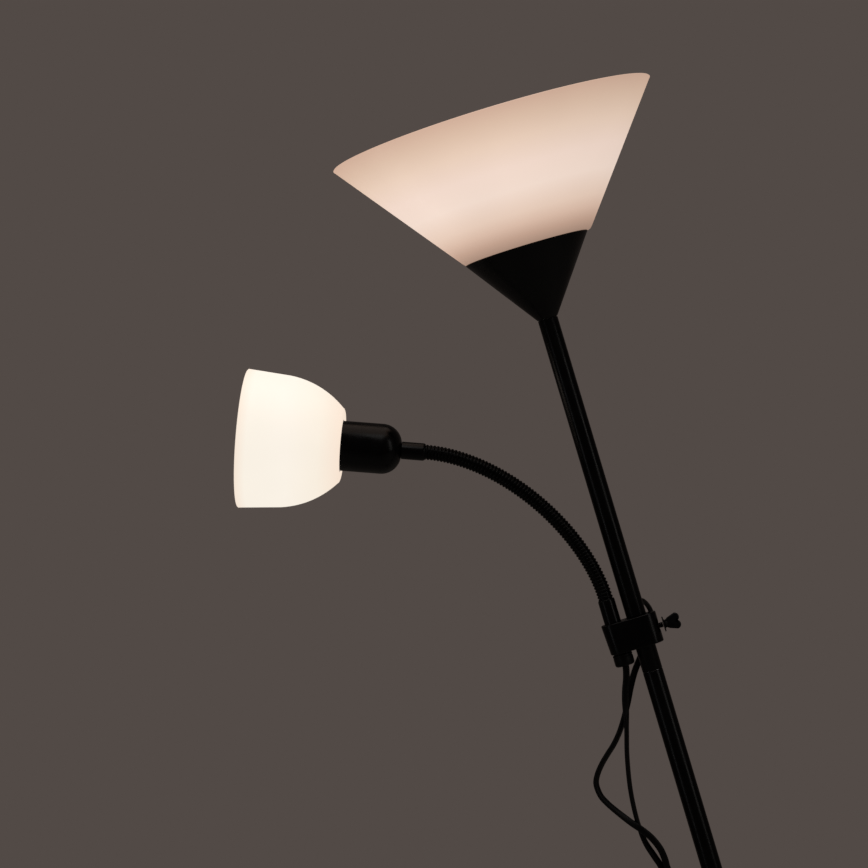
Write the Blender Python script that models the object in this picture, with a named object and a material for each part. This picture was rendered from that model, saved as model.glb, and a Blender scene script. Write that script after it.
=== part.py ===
"""Torchiere floor lamp with a reading arm.

Metres, +Z up. The origin is the middle of the base's underside, on the pole's axis.
+X points away from the reading arm, -Y is the lamp's front.
"""
import math

import bmesh
import bpy
from mathutils import Matrix, Vector

# Clearances
GAP = 0.0003                 # between pieces that touch
EASE = 0.0006                # round a piece that slips into another

# Base
BASE_RADIUS = 0.135
BASE_RIM_HEIGHT = 0.0085     # straight part of the dish's rim
BASE_HUB_HEIGHT = 0.0240     # top of the dish at its middle
BASE_EDGE_RADIUS = 0.0055
BASE_WALL = 0.0012
BASE_LIFT = 0.0012           # dish edge above the floor
PAD_THICKNESS = 0.0020
PAD_INSET = 0.0080
BALLAST_HEIGHT = 0.0103
HUB_RADIUS = 0.0220
COLLAR_RADIUS = 0.0165
COLLAR_HEIGHT = 0.0075
BOLT_RADIUS = 0.0050
BOLT_HEAD_WIDTH = 0.0170
BOLT_HEAD_HEIGHT = 0.0062
BOLT_REACH = 0.0160          # bolt thread inside the foot plug
WASHER_RADIUS = 0.0110
WASHER_THICKNESS = 0.0016

# Pole
POLE_RADIUS = 0.0105
POLE_WALL = 0.0010
POLE_TUBES = 4
POLE_TUBE_LENGTH = 0.3785
POLE_END_BEVEL = 0.0005
JOINER_LENGTH = 0.0600
JOINER_BORE = 0.0045
PLUG_LENGTH = 0.0200

# Uplighter
CUP_HEIGHT = 0.0762
CUP_RIM_RADIUS = 0.0654
CUP_WALL = 0.0010
NIPPLE_RADIUS = 0.0050
NIPPLE_BORE = 0.0034
NIPPLE_REACH = 0.0200        # below the neck
LOCKNUT_WIDTH = 0.0150
LOCKNUT_HEIGHT = 0.0030
UPLIGHT_OVERHANG = 0.0022    # shade past the cup's rim
UPLIGHT_PLAY = 0.0016        # the shade sits this far to +X in its hole's play
UPLIGHT_RIM_RADIUS = 0.1705
UPLIGHT_HEIGHT = 0.2088      # shade rim above the neck
UPLIGHT_WALL = 0.0018
UPLIGHT_HOLDER_RADIUS = 0.0200
UPLIGHT_HOLDER_TOP = 0.0850  # above the neck
UPLIGHT_CAP_RADIUS = 0.0130
UPLIGHT_CAP_LENGTH = 0.0250
UPLIGHT_BULB_RADIUS = 0.0300
UPLIGHT_BULB_LENGTH = 0.0800  # glass only

# Clamp on the pole
CLAMP_DROP = 0.3362          # clamp's middle below the neck
CLAMP_HEIGHT = 0.0320
CLAMP_ARM_WALL = 0.00385     # round the arm, at the clamp's top
CLAMP_DRAFT = 0.0016         # the arm's end is this much shorter at the clamp's foot
CLAMP_POLE_END = 0.0150      # radius round the pole
CLAMP_NOSE_RADIUS = 0.0140
CLAMP_NOSE_OFFSET = 0.0060
CLAMP_BEVEL = 0.0010
LINER_WALL = 0.0012
ARM_OFFSET = 0.0253          # arm's axis from the pole's axis
INSERT_RADIUS = 0.0044
SCREW_RADIUS = 0.0029
WING_FLANGE_RADIUS = 0.0081
WING_FLANGE_THICKNESS = 0.0013
WING_START = 0.0241          # flange's inner face from the pole's axis
WING_LENGTH = 0.0172
WING_WIDTH = 0.0176
WING_THICKNESS = 0.0048

# Arm
FERRULE_RADIUS = 0.00875
FERRULE_BORE = 0.0058
FERRULE_TOP = 0.0414         # above the clamp's middle
FERRULE_TAIL = 0.0010        # below the clamp
GLAND_RADIUS = 0.0103
GLAND_LENGTH = 0.0134        # below the clamp
GLAND_SPIGOT = 0.0100        # length inside the ferrule
HOSE_RADIUS = 0.0080
HOSE_BORE = 0.0050
HOSE_LINKS = 7
HOSE_RISE_HANDLE = 0.0720    # how far the hose runs straight up before it bends
HOSE_HEAD_HANDLE = 0.0830
HOSE_REACH = 0.1355          # sideways from the arm's axis to the head's ferrule
HOSE_RISE = 0.1990           # upwards over the same stretch
LINK_BEND_UP = math.radians(5.0)
LINK_BEND_DOWN = math.radians(11.0)

# Reading head; stations are measured from the shade's mouth along its axis
HEAD_TILT = math.radians(21.0)
HEAD_FERRULE_RADIUS = 0.0091
HEAD_FERRULE_LENGTH = 0.0248
READING_MOUTH_RADIUS = 0.0722
READING_SKIRT_LENGTH = 0.0440
READING_SKIRT_RADIUS = 0.0685
READING_SHOULDER_RADIUS = 0.0400
READING_SHOULDER_STATION = 0.1005
READING_LENGTH = 0.1050
READING_ROUND = 0.0040
READING_WALL = 0.0018
READING_FLOOR_DEPTH = 0.0044  # floor's outside below the shoulder
READING_CUP_RADIUS = 0.0260
READING_CUP_WALL = 0.0010
READING_CUP_FLANGE = 0.0016   # width past the cup's side
READING_CUP_LENGTH = 0.0640
READING_HOLDER_RADIUS = 0.0145
READING_CAP_RADIUS = 0.0068
READING_CAP_LENGTH = 0.0230
READING_BULB_RADIUS = 0.0225
READING_BULB_LENGTH = 0.0560

# Cords and switch
UPLIGHT_CORD_RADIUS = 0.0027
READING_CORD_RADIUS = 0.0027
MAINS_CORD_RADIUS = 0.0030
EXIT_RISE = 0.0296           # pole exit above the clamp's middle
EXIT_ANGLE = math.radians(55.0)
GROMMET_RADIUS = 0.0045
GROMMET_LENGTH = 0.0024      # proud of the pole
SWITCH_DROP = 0.6080         # switch's top below the neck
SWITCH_X = -0.0455
SWITCH_Y = 0.0020
SWITCH_WIDTH = 0.0380
SWITCH_HEIGHT = 0.0800
SWITCH_DEPTH = 0.0240
SWITCH_WALL = 0.0018
SWITCH_CORNER = 0.0080
CORD_ENTRY = 0.0130          # straight run of a cord above the switch
CORD_SPREAD = 0.0042         # each upper cord from the switch's middle
ROCKER_WIDTH = 0.0120
ROCKER_HEIGHT = 0.0220
ROCKER_PITCH = 0.0150
ROCKER_TILT = math.radians(8.0)
SWITCH_SCREW_RADIUS = 0.0030
CORD_STEP = 1.8              # diameters between the upper cords' points
MAINS_STEP = 2.6             # the same for the mains cord
CORD_ROUNDING = 2
BOOT_LENGTH = 0.0260
BOOT_TOP_RADIUS = 0.0058
BOOT_TIP_RADIUS = 0.0042
COIL_RADIUS = 0.0345         # middle of the turns
COIL_WIDTH = 0.0135
COIL_HEIGHT = 0.0125
COIL_X = -0.0450
COIL_Y = 0.2260
TAIL_LENGTH = 0.0400         # cord from the coil's side to the plug
PLUG_BODY_LENGTH = 0.0360
PLUG_BOOT_LENGTH = 0.0240
PLUG_WIDTH = 0.0350
PLUG_HEIGHT = 0.0136
PLUG_PIN_RADIUS = 0.0020
PLUG_PIN_LENGTH = 0.0190
PLUG_PIN_PITCH = 0.0190

# Places that follow from the sizes
BASE_TOP = BASE_HUB_HEIGHT
COLLAR_TOP = BASE_TOP + GAP + COLLAR_HEIGHT
POLE_BOTTOM = COLLAR_TOP + GAP
TUBE_STEP = POLE_TUBE_LENGTH + GAP
NECK = POLE_BOTTOM + POLE_TUBES * TUBE_STEP - GAP
TUBE_BORE = POLE_RADIUS - POLE_WALL
CLAMP_Z = NECK - CLAMP_DROP
LINER_RADIUS = POLE_RADIUS + GAP + LINER_WALL
POLE_HOLE = LINER_RADIUS + GAP
ARM_HOLE = FERRULE_RADIUS + GAP
CLAMP_ARM_END = ARM_HOLE + CLAMP_ARM_WALL
NOSE_X = CLAMP_NOSE_OFFSET + CLAMP_NOSE_RADIUS
SWITCH_TOP = NECK - SWITCH_DROP
SWITCH_MIDDLE = SWITCH_TOP - SWITCH_HEIGHT / 2
EXIT_Z = CLAMP_Z + EXIT_RISE
CUP_SLOPE = (CUP_RIM_RADIUS - POLE_RADIUS) / CUP_HEIGHT
COIL_SIDE = COIL_RADIUS + COIL_WIDTH / 2 + MAINS_CORD_RADIUS + EASE
LYING_HEIGHT = MAINS_CORD_RADIUS + 0.0001


# ---------------------------------------------------------------- tools

def clear_scene():
    for thing in list(bpy.data.objects):
        bpy.data.objects.remove(thing, do_unlink=True)


def material(name, color, roughness, metallic=0.0):
    made = bpy.data.materials.new(name)
    made.use_nodes = True
    shader = made.node_tree.nodes["Principled BSDF"]
    shader.inputs["Base Color"].default_value = (*color, 1.0)
    shader.inputs["Roughness"].default_value = roughness
    shader.inputs["Metallic"].default_value = metallic
    return made


def add_object(name, mesh_or_curve, look, place=None, parent=None):
    """Link an object, put it at place (a world matrix) and hang it on its parent empty."""
    made = bpy.data.objects.new(name, mesh_or_curve)
    bpy.context.scene.collection.objects.link(made)
    made.data.materials.append(look)
    made.matrix_world = place or Matrix.Identity(4)
    if parent:
        made.parent = parent
        made.matrix_parent_inverse = parent.matrix_world.inverted()
    return made


def add_axis(name, place, parent=None):
    """An empty on a joint's axis."""
    made = bpy.data.objects.new(name, None)
    bpy.context.scene.collection.objects.link(made)
    made.empty_display_size = 0.02
    made.matrix_world = place
    if parent:
        made.parent = parent
        made.matrix_parent_inverse = parent.matrix_world.inverted()
    bpy.context.view_layer.update()
    return made


def at(x=0.0, y=0.0, z=0.0):
    return Matrix.Translation((x, y, z))


def mesh_from(bm, name, smooth_angle=40.0):
    bmesh.ops.recalc_face_normals(bm, faces=bm.faces)
    if bm.calc_volume(signed=True) < 0:
        bmesh.ops.reverse_faces(bm, faces=bm.faces)
    mesh = bpy.data.meshes.new(name)
    bm.to_mesh(mesh)
    bm.free()
    mesh.shade_smooth()
    mesh.set_sharp_from_angle(angle=math.radians(smooth_angle))
    return mesh


def turned_mesh(name, profile, segments, phase=0.0):
    """Turn a closed (radius, height) outline about Z. Points on the axis become poles."""
    bm = bmesh.new()
    rings = []
    for radius, height in profile:
        if radius < 1e-7:
            rings.append([bm.verts.new((0.0, 0.0, height))])
            continue
        angles = [phase + 2 * math.pi * i / segments for i in range(segments)]
        rings.append([bm.verts.new((radius * math.cos(a), radius * math.sin(a), height))
                      for a in angles])
    for ring, following in zip(rings, rings[1:] + rings[:1]):
        for i in range(segments):
            j = (i + 1) % segments
            if len(ring) == 1 and len(following) == 1:
                break
            if len(ring) == 1:
                bm.faces.new((ring[0], following[i], following[j]))
            elif len(following) == 1:
                bm.faces.new((ring[i], following[0], ring[j]))
            else:
                bm.faces.new((ring[i], following[i], following[j], ring[j]))
    return mesh_from(bm, name)


def turned(name, profile, segments, look, place=None, parent=None, phase=0.0):
    return add_object(name, turned_mesh(name, profile, segments, phase), look, place, parent)


def tube_profile(inner, outer, low, high, bevel=0.0):
    if not bevel:
        return [(outer, low), (outer, high), (inner, high), (inner, low)]
    return [(outer - bevel, low), (outer, low + bevel), (outer, high - bevel),
            (outer - bevel, high), (inner, high), (inner, low)]


def arc(center, radius, start, end, steps):
    """Points on an arc; angles in degrees, measured from the +radius direction."""
    points = []
    for i in range(steps + 1):
        angle = math.radians(start + (end - start) * i / steps)
        points.append((center[0] + radius * math.cos(angle),
                       center[1] + radius * math.sin(angle)))
    return points


def prism_mesh(name, outline, low, high, bevel=0.0):
    """Extrude a closed XY outline from low to high, with its two rims bevelled."""
    bm = bmesh.new()
    bottom = bm.faces.new([bm.verts.new((x, y, low)) for x, y in outline])
    grown = bmesh.ops.extrude_face_region(bm, geom=[bottom])
    top = [item for item in grown["geom"] if isinstance(item, bmesh.types.BMVert)]
    bmesh.ops.translate(bm, verts=top, vec=(0, 0, high - low))
    if bevel:
        rims = [e for e in bm.edges if abs(e.verts[0].co.z - e.verts[1].co.z) < 1e-7]
        bmesh.ops.bevel(bm, geom=rims, offset=bevel, segments=1, affect="EDGES")
    return mesh_from(bm, name)


def hull_outline(circles, steps):
    """Outline round several (x, y, radius) circles, as a belt pulled tight."""
    bm = bmesh.new()
    for x, y, radius in circles:
        for i in range(steps):
            angle = 2 * math.pi * i / steps
            bm.verts.new((x + radius * math.cos(angle), y + radius * math.sin(angle), 0))
    points = sorted({(round(v.co.x, 7), round(v.co.y, 7)) for v in bm.verts})
    bm.free()

    def half(row):
        chain = []
        for p in row:
            while len(chain) > 1:
                (ax, ay), (bx, by) = chain[-2], chain[-1]
                if (bx - ax) * (p[1] - ay) - (by - ay) * (p[0] - ax) > 1e-12:
                    break
                chain.pop()
            chain.append(p)
        return chain[:-1]

    return half(points) + half(points[::-1])


def rounded_rectangle(width, height, corner, steps):
    points = []
    corners = ((1, 1, 0), (-1, 1, 90), (-1, -1, 180), (1, -1, 270))
    for sx, sy, start in corners:
        center = (sx * (width / 2 - corner), sy * (height / 2 - corner))
        points += arc(center, corner, start, start + 90, steps)
    return points


def cut(target, cutters, operation="DIFFERENCE"):
    """Booleans that stay live on the piece; each cutter is a hidden guide."""
    for cutter in cutters:
        cutter.hide_render = True
        cutter.display_type = "WIRE"
        modifier = target.modifiers.new(cutter.name, "BOOLEAN")
        modifier.operation = operation
        modifier.solver = "EXACT"
        modifier.object = cutter


def rod_guide(name, radius, low, high, place, parent=None, segments=24):
    return turned(name, [(0, low), (radius, low), (radius, high), (0, high)],
                  segments, STEEL, place, parent)


def hexagon_mesh(name, width, low, high, bore=0.0):
    """A hexagon nut or head; width is across its flats."""
    corner = width / math.sqrt(3)
    if not bore:
        return turned_mesh(name, [(0, low), (corner, low), (corner, high), (0, high)], 6)
    bm = bmesh.new()
    sides = 24
    rings = []
    for height in (low, high):
        outer = []
        inner = []
        for i in range(sides):
            angle = 2 * math.pi * i / sides
            across = width / 2 / math.cos((angle % (math.pi / 3)) - math.pi / 6)
            outer.append(bm.verts.new((across * math.cos(angle), across * math.sin(angle), height)))
            inner.append(bm.verts.new((bore * math.cos(angle), bore * math.sin(angle), height)))
        rings.append((outer, inner))
    (low_out, low_in), (high_out, high_in) = rings
    for i in range(sides):
        j = (i + 1) % sides
        bm.faces.new((low_out[i], low_out[j], high_out[j], high_out[i]))
        bm.faces.new((low_in[j], low_in[i], high_in[i], high_in[j]))
        bm.faces.new((high_out[i], high_out[j], high_in[j], high_in[i]))
        bm.faces.new((low_out[j], low_out[i], low_in[i], low_in[j]))
    return mesh_from(bm, name)


# ---------------------------------------------------------------- finishes

STEEL = material("zinc_steel", (0.55, 0.56, 0.57), 0.35, 1.0)
BRASS = material("brass", (0.70, 0.52, 0.25), 0.35, 1.0)
IRON = material("cast_iron", (0.10, 0.10, 0.10), 0.75, 0.6)
BLACK_PAINT = material("black_painted_steel", (0.018, 0.017, 0.018), 0.33)
BLACK_PLASTIC = material("black_plastic", (0.022, 0.021, 0.022), 0.45)
BLACK_RUBBER = material("black_cord_pvc", (0.020, 0.020, 0.021), 0.50)
FELT = material("black_felt", (0.030, 0.030, 0.030), 0.95)
CERAMIC = material("holder_plastic", (0.80, 0.79, 0.76), 0.40)
OPAL = material("opal_plastic", (0.95, 0.84, 0.72), 0.40)
GLASS = material("frosted_glass", (0.97, 0.93, 0.86), 0.30)


# ---------------------------------------------------------------- base

def dish_height(radius):
    """Height of the dish's outside at a radius: a shallow crown."""
    low = BASE_LIFT + BASE_RIM_HEIGHT + BASE_EDGE_RADIUS
    share = max(0.0, 1 - (radius / (BASE_RADIUS - BASE_EDGE_RADIUS)) ** 2)
    return low + (BASE_TOP - low) * share


def make_base():
    pad_radius = BASE_RADIUS - PAD_INSET
    turned("base_pad", [(0, 0), (pad_radius, 0), (pad_radius, PAD_THICKNESS),
                        (0, PAD_THICKNESS)], 40, FELT)
    make_ballast()
    make_dish()
    make_base_bolt()
    low = BASE_TOP + GAP
    flare = COLLAR_RADIUS - POLE_RADIUS - 0.0010
    profile = [(BOLT_RADIUS + EASE, low), (COLLAR_RADIUS, low),
               (COLLAR_RADIUS, low + COLLAR_HEIGHT * 0.3),
               (COLLAR_RADIUS - flare * 0.35, low + COLLAR_HEIGHT * 0.75),
               (COLLAR_RADIUS - flare, COLLAR_TOP), (BOLT_RADIUS + EASE, COLLAR_TOP)]
    turned("base_collar", profile, 24, BLACK_PAINT)
    plug_radius = TUBE_BORE - GAP
    turned("pole_foot_plug",
           tube_profile(BOLT_RADIUS + GAP, plug_radius, POLE_BOTTOM, POLE_BOTTOM + PLUG_LENGTH, 0.001),
           16, STEEL)


def make_ballast():
    edge = BASE_RADIUS - BASE_WALL - EASE
    low = PAD_THICKNESS + GAP
    rim = min(BASE_LIFT + BASE_RIM_HEIGHT, low + BALLAST_HEIGHT) - 0.0010
    recess = BOLT_HEAD_WIDTH / math.sqrt(3) + 0.0020
    hub_top = dish_height(HUB_RADIUS) - BASE_WALL - GAP
    recess_roof = head_top() + GAP + WASHER_THICKNESS + GAP
    profile = [(recess, low), (edge, low), (edge, rim), (edge - 0.0045, low + BALLAST_HEIGHT),
               (HUB_RADIUS + 0.0020, low + BALLAST_HEIGHT), (HUB_RADIUS, hub_top),
               (BOLT_RADIUS + EASE, hub_top), (BOLT_RADIUS + EASE, recess_roof),
               (recess, recess_roof)]
    turned("base_ballast", profile, 32, IRON)


def make_dish():
    edge = BASE_RADIUS - BASE_EDGE_RADIUS
    shoulder = BASE_LIFT + BASE_RIM_HEIGHT
    hole = BOLT_RADIUS + EASE
    crown = [edge * share for share in (0.66, 0.33)]
    outside = [(BASE_RADIUS, BASE_LIFT)]
    outside += arc((edge, shoulder), BASE_EDGE_RADIUS, 0, 90, 3)
    outside += [(r, dish_height(r)) for r in crown] + [(hole, BASE_TOP)]
    inside = [(hole, BASE_TOP - BASE_WALL)]
    inside += [(r, dish_height(r) - BASE_WALL) for r in reversed(crown)]
    inside += arc((edge, shoulder), BASE_EDGE_RADIUS - BASE_WALL, 90, 0, 2)
    inside += [(BASE_RADIUS - BASE_WALL, BASE_LIFT)]
    turned("base_cover", outside + inside, 44, BLACK_PAINT)


def head_top():
    return PAD_THICKNESS + GAP + GAP + BOLT_HEAD_HEIGHT


def make_base_bolt():
    low = head_top() - BOLT_HEAD_HEIGHT
    high = POLE_BOTTOM + BOLT_REACH
    bolt = add_object("base_bolt", hexagon_mesh("base_bolt", BOLT_HEAD_WIDTH, low, head_top()), STEEL)
    shank = rod_guide("base_bolt_shank", BOLT_RADIUS, head_top() - 0.002, high, at())
    cut(bolt, [shank], "UNION")
    washer_low = head_top() + GAP
    turned("base_washer",
           tube_profile(BOLT_RADIUS + GAP, WASHER_RADIUS, washer_low, washer_low + WASHER_THICKNESS),
           16, STEEL)


# ---------------------------------------------------------------- pole

def make_pole():
    for number in range(POLE_TUBES):
        low = POLE_BOTTOM + (POLE_TUBES - 1 - number) * TUBE_STEP
        profile = tube_profile(TUBE_BORE, POLE_RADIUS, low, low + POLE_TUBE_LENGTH, POLE_END_BEVEL)
        tube = turned(f"pole_tube_{number + 1}", profile, 24, BLACK_PAINT)
        if low < EXIT_Z < low + POLE_TUBE_LENGTH:
            cut(tube, [exit_guide("pole_exit_hole", GROMMET_RADIUS - 0.0008 + GAP, 0.004, 0.016)])
    for number in range(1, POLE_TUBES):
        middle = POLE_BOTTOM + (POLE_TUBES - number) * TUBE_STEP - GAP / 2
        profile = tube_profile(JOINER_BORE, TUBE_BORE - GAP, middle - JOINER_LENGTH / 2,
                               middle + JOINER_LENGTH / 2, 0.001)
        turned(f"pole_joiner_{number}", profile, 16, STEEL)
    plug = tube_profile(NIPPLE_RADIUS + GAP, TUBE_BORE - GAP, NECK - PLUG_LENGTH, NECK - GAP, 0.0005)
    turned("pole_top_plug", plug, 16, STEEL)
    make_grommet()


def exit_frame():
    """Local Z points out of the pole at the cord's exit."""
    return at(0, 0, EXIT_Z) @ Matrix.Rotation(EXIT_ANGLE, 4, "Z") @ Matrix.Rotation(math.pi / 2, 4, "Y")


def exit_guide(name, radius, low, high):
    return rod_guide(name, radius, low, high, exit_frame(), segments=20)


def make_grommet():
    """A bush with a flange outside the pole and a neck through the tube's wall."""
    neck = GROMMET_RADIUS - 0.0008
    face = POLE_RADIUS + GROMMET_LENGTH
    seat = POLE_RADIUS + 0.0001
    bore = UPLIGHT_CORD_RADIUS + EASE / 2
    profile = [(bore, TUBE_BORE - 0.0010), (neck, TUBE_BORE - 0.0010), (neck, seat),
               (GROMMET_RADIUS, seat), (GROMMET_RADIUS - 0.0007, face), (bore, face)]
    turned("pole_grommet", profile, 20, BLACK_PLASTIC, exit_frame())


# ---------------------------------------------------------------- uplighter

def make_uplighter():
    neck = at(0, 0, NECK)
    floor_top = GAP + CUP_WALL
    inner = CUP_WALL * 1.2
    turned("uplight_cup",
           [(NIPPLE_RADIUS + GAP, GAP), (POLE_RADIUS + 0.0007, GAP),
            (CUP_RIM_RADIUS, CUP_HEIGHT), (CUP_RIM_RADIUS - inner, CUP_HEIGHT),
            (POLE_RADIUS + CUP_SLOPE * CUP_WALL - 0.0004, floor_top), (NIPPLE_RADIUS + GAP, floor_top)],
           40, BLACK_PAINT, neck)
    nut_low = floor_top + GAP
    add_object("uplight_locknut",
               hexagon_mesh("uplight_locknut", LOCKNUT_WIDTH, nut_low, nut_low + LOCKNUT_HEIGHT,
                            NIPPLE_RADIUS + GAP), BRASS, neck)
    holder_low = nut_low + LOCKNUT_HEIGHT + GAP
    turned("uplight_nipple",
           tube_profile(NIPPLE_BORE, NIPPLE_RADIUS, -NIPPLE_REACH, holder_low + 0.0080), 20, STEEL, neck)
    make_uplight_holder(neck, holder_low)
    make_uplight_shade(neck)
    make_bulb("uplight", neck, UPLIGHT_HOLDER_TOP - 0.0060, UPLIGHT_CAP_RADIUS, UPLIGHT_CAP_LENGTH,
              UPLIGHT_BULB_RADIUS, UPLIGHT_BULB_LENGTH)


def make_uplight_holder(neck, low):
    top = UPLIGHT_HOLDER_TOP
    body = UPLIGHT_HOLDER_RADIUS
    socket = UPLIGHT_CAP_RADIUS + GAP
    socket_floor = top - 0.0060 - UPLIGHT_CAP_LENGTH - 0.0020
    shelf = CUP_HEIGHT - GAP
    thread = body - 0.0015
    profile = [(NIPPLE_RADIUS + GAP, low), (0.0080, low), (0.0080, low + 0.0110),
               (0.0150, low + 0.0150), (body, low + 0.0230), (body, shelf - 0.0020),
               (body + 0.0030, shelf - 0.0020), (body + 0.0030, shelf), (thread, shelf),
               (thread, top), (socket, top), (socket, socket_floor), (NIPPLE_BORE, socket_floor),
               (NIPPLE_BORE, low + 0.0085), (NIPPLE_RADIUS + GAP, low + 0.0085)]
    turned("uplight_lampholder", profile, 20, CERAMIC, neck)
    ring_low = CUP_HEIGHT + GAP + UPLIGHT_WALL + GAP
    turned("uplight_shade_ring",
           tube_profile(thread + GAP, body + 0.0060, ring_low, ring_low + 0.0050, 0.0008),
           20, CERAMIC, neck)


def make_uplight_shade(neck):
    """An opal cone with a flat floor that sits on the cup's rim."""
    low = CUP_HEIGHT + GAP
    foot = CUP_RIM_RADIUS + UPLIGHT_OVERHANG
    slope = (UPLIGHT_RIM_RADIUS - foot) / (UPLIGHT_HEIGHT - low)
    across = UPLIGHT_WALL * math.hypot(1, slope)
    hole = UPLIGHT_HOLDER_RADIUS - 0.0015 + GAP + UPLIGHT_PLAY
    profile = [(hole, low), (foot, low), (UPLIGHT_RIM_RADIUS, UPLIGHT_HEIGHT),
               (UPLIGHT_RIM_RADIUS - across, UPLIGHT_HEIGHT),
               (foot - across + slope * UPLIGHT_WALL, low + UPLIGHT_WALL), (hole, low + UPLIGHT_WALL)]
    turned("uplight_shade", profile, 56, OPAL, neck @ at(UPLIGHT_PLAY))


def make_bulb(prefix, frame, seat, cap_radius, cap_length, glass_radius, glass_length):
    """A screw cap below seat and a round glass above it, along the frame's Z."""
    tip = cap_radius * 0.45
    turned(f"{prefix}_bulb_cap",
           [(0, seat - cap_length), (tip, seat - cap_length), (cap_radius, seat - cap_length * 0.78),
            (cap_radius, seat), (0, seat)], 14, STEEL, frame)
    middle = seat + glass_length - glass_radius
    low = seat + GAP
    neck_angle = -58
    profile = [(0, low), (cap_radius - 0.0004, low), (cap_radius - 0.0002, low + glass_length * 0.12)]
    profile += arc((0, middle), glass_radius, neck_angle, 90, 7)[:-1]
    profile += [(0, middle + glass_radius)]
    turned(f"{prefix}_bulb_glass", profile, 16, GLASS, frame)


# ---------------------------------------------------------------- clamp

def make_clamp():
    clamp_axis = add_axis("clamp_axis", at(0, 0, CLAMP_Z))
    half = CLAMP_HEIGHT / 2
    turned("clamp_liner", tube_profile(POLE_RADIUS + GAP, LINER_RADIUS, -half + 0.0005, half - 0.0005),
           24, BLACK_PLASTIC, clamp_axis.matrix_world, clamp_axis)
    circles = [(-ARM_OFFSET, 0, CLAMP_ARM_END), (0, 0, CLAMP_POLE_END),
               (CLAMP_NOSE_OFFSET, 0, CLAMP_NOSE_RADIUS)]
    block = prism_mesh("arm_clamp", hull_outline(circles, 28), -half, half, CLAMP_BEVEL)
    for vertex in block.vertices:
        past_arm = vertex.co.x + ARM_OFFSET
        if past_arm < 0:
            shorter = CLAMP_DRAFT / CLAMP_ARM_END * (half - vertex.co.z) / CLAMP_HEIGHT
            vertex.co.x -= shorter * past_arm
    clamp = add_object("arm_clamp", block, BLACK_PAINT, clamp_axis.matrix_world, clamp_axis)
    past = half + 0.002
    across = Matrix.Rotation(math.pi / 2, 4, "Y")
    cut(clamp, [
        rod_guide("clamp_pole_bore", POLE_HOLE, -past, past, clamp_axis.matrix_world, clamp_axis, 24),
        rod_guide("clamp_arm_bore", ARM_HOLE, -past, past,
                  clamp_axis.matrix_world @ at(-ARM_OFFSET), clamp_axis, 24),
        rod_guide("clamp_insert_bore", INSERT_RADIUS + GAP, LINER_RADIUS - 0.001, NOSE_X + 0.005,
                  clamp_axis.matrix_world @ across, clamp_axis, 16)])
    screw_axis = add_axis("wing_screw_axis", clamp_axis.matrix_world @ across, clamp_axis)
    turned("clamp_thread_insert",
           tube_profile(SCREW_RADIUS + GAP, INSERT_RADIUS, POLE_HOLE + 0.0008, NOSE_X - 0.0006),
           16, BRASS, screw_axis.matrix_world, clamp_axis)
    make_wing_screw(screw_axis)


def make_wing_screw(screw_axis):
    """A threaded rod with a moulded two-lobed head."""
    frame = screw_axis.matrix_world
    tip = LINER_RADIUS + GAP
    turned("wing_screw_shank",
           [(0, tip), (SCREW_RADIUS - 0.0006, tip), (SCREW_RADIUS, tip + 0.0008),
            (SCREW_RADIUS, WING_START - GAP), (0, WING_START - GAP)], 16, STEEL, frame, screw_axis)
    lobe = WING_WIDTH * 0.27
    root = WING_START + WING_FLANGE_THICKNESS
    end = WING_START + WING_LENGTH
    spread = WING_WIDTH / 2 - lobe
    outline = [(root - 0.0004, -lobe), (root + 0.004, -WING_WIDTH * 0.36)]
    outline += arc((end - lobe, -spread), lobe, -70, 65, 6)
    outline += [(end - lobe * 0.85, 0.0)]
    outline += arc((end - lobe, spread), lobe, -65, 70, 6)
    outline += [(root + 0.004, WING_WIDTH * 0.36), (root - 0.0004, lobe)]
    half = WING_THICKNESS / 2
    wing = prism_mesh("wing_screw_head", outline, -half, half, 0.0009)
    flat = frame @ Matrix.Rotation(-math.pi / 2, 4, "Y") @ Matrix.Rotation(math.pi / 2, 4, "X")
    head = add_object("wing_screw_head", wing, BLACK_PLASTIC, flat, screw_axis)
    flange = turned("wing_flange", [(0, WING_START), (WING_FLANGE_RADIUS - 0.0003, WING_START),
                                    (WING_FLANGE_RADIUS, WING_START + WING_FLANGE_THICKNESS / 2),
                                    (WING_FLANGE_RADIUS - 0.0003, root), (0, root)],
                    24, BLACK_PLASTIC, frame, screw_axis)
    cut(head, [flange], "UNION")


# ---------------------------------------------------------------- arm and hose

def hose_point(share):
    """The hose's centre line, a cubic curve from the arm's ferrule to the head's."""
    start = Vector((-ARM_OFFSET, 0, CLAMP_Z + FERRULE_TOP))
    end = start + Vector((-HOSE_REACH, 0, HOSE_RISE))
    first = start + Vector((0, 0, HOSE_RISE_HANDLE))
    second = end - HOSE_HEAD_HANDLE * Vector((-math.cos(HEAD_TILT), 0, math.sin(HEAD_TILT)))
    rest = 1 - share
    return (rest ** 3 * start + 3 * rest ** 2 * share * first
            + 3 * rest * share ** 2 * second + share ** 3 * end)


def hose_stations():
    """The hose's centre line as points at even distances, and its length."""
    fine = [hose_point(i / 400) for i in range(401)]
    marks = [0.0]
    for before, after in zip(fine, fine[1:]):
        marks.append(marks[-1] + (after - before).length)
    return fine, marks


HOSE_FINE, HOSE_MARKS = hose_stations()
HOSE_LENGTH = HOSE_MARKS[-1]
LINK_STEP = HOSE_LENGTH / HOSE_LINKS
LINK_GAP = GAP + 2 * HOSE_RADIUS * math.tan(LINK_BEND_DOWN / 2)


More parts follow.
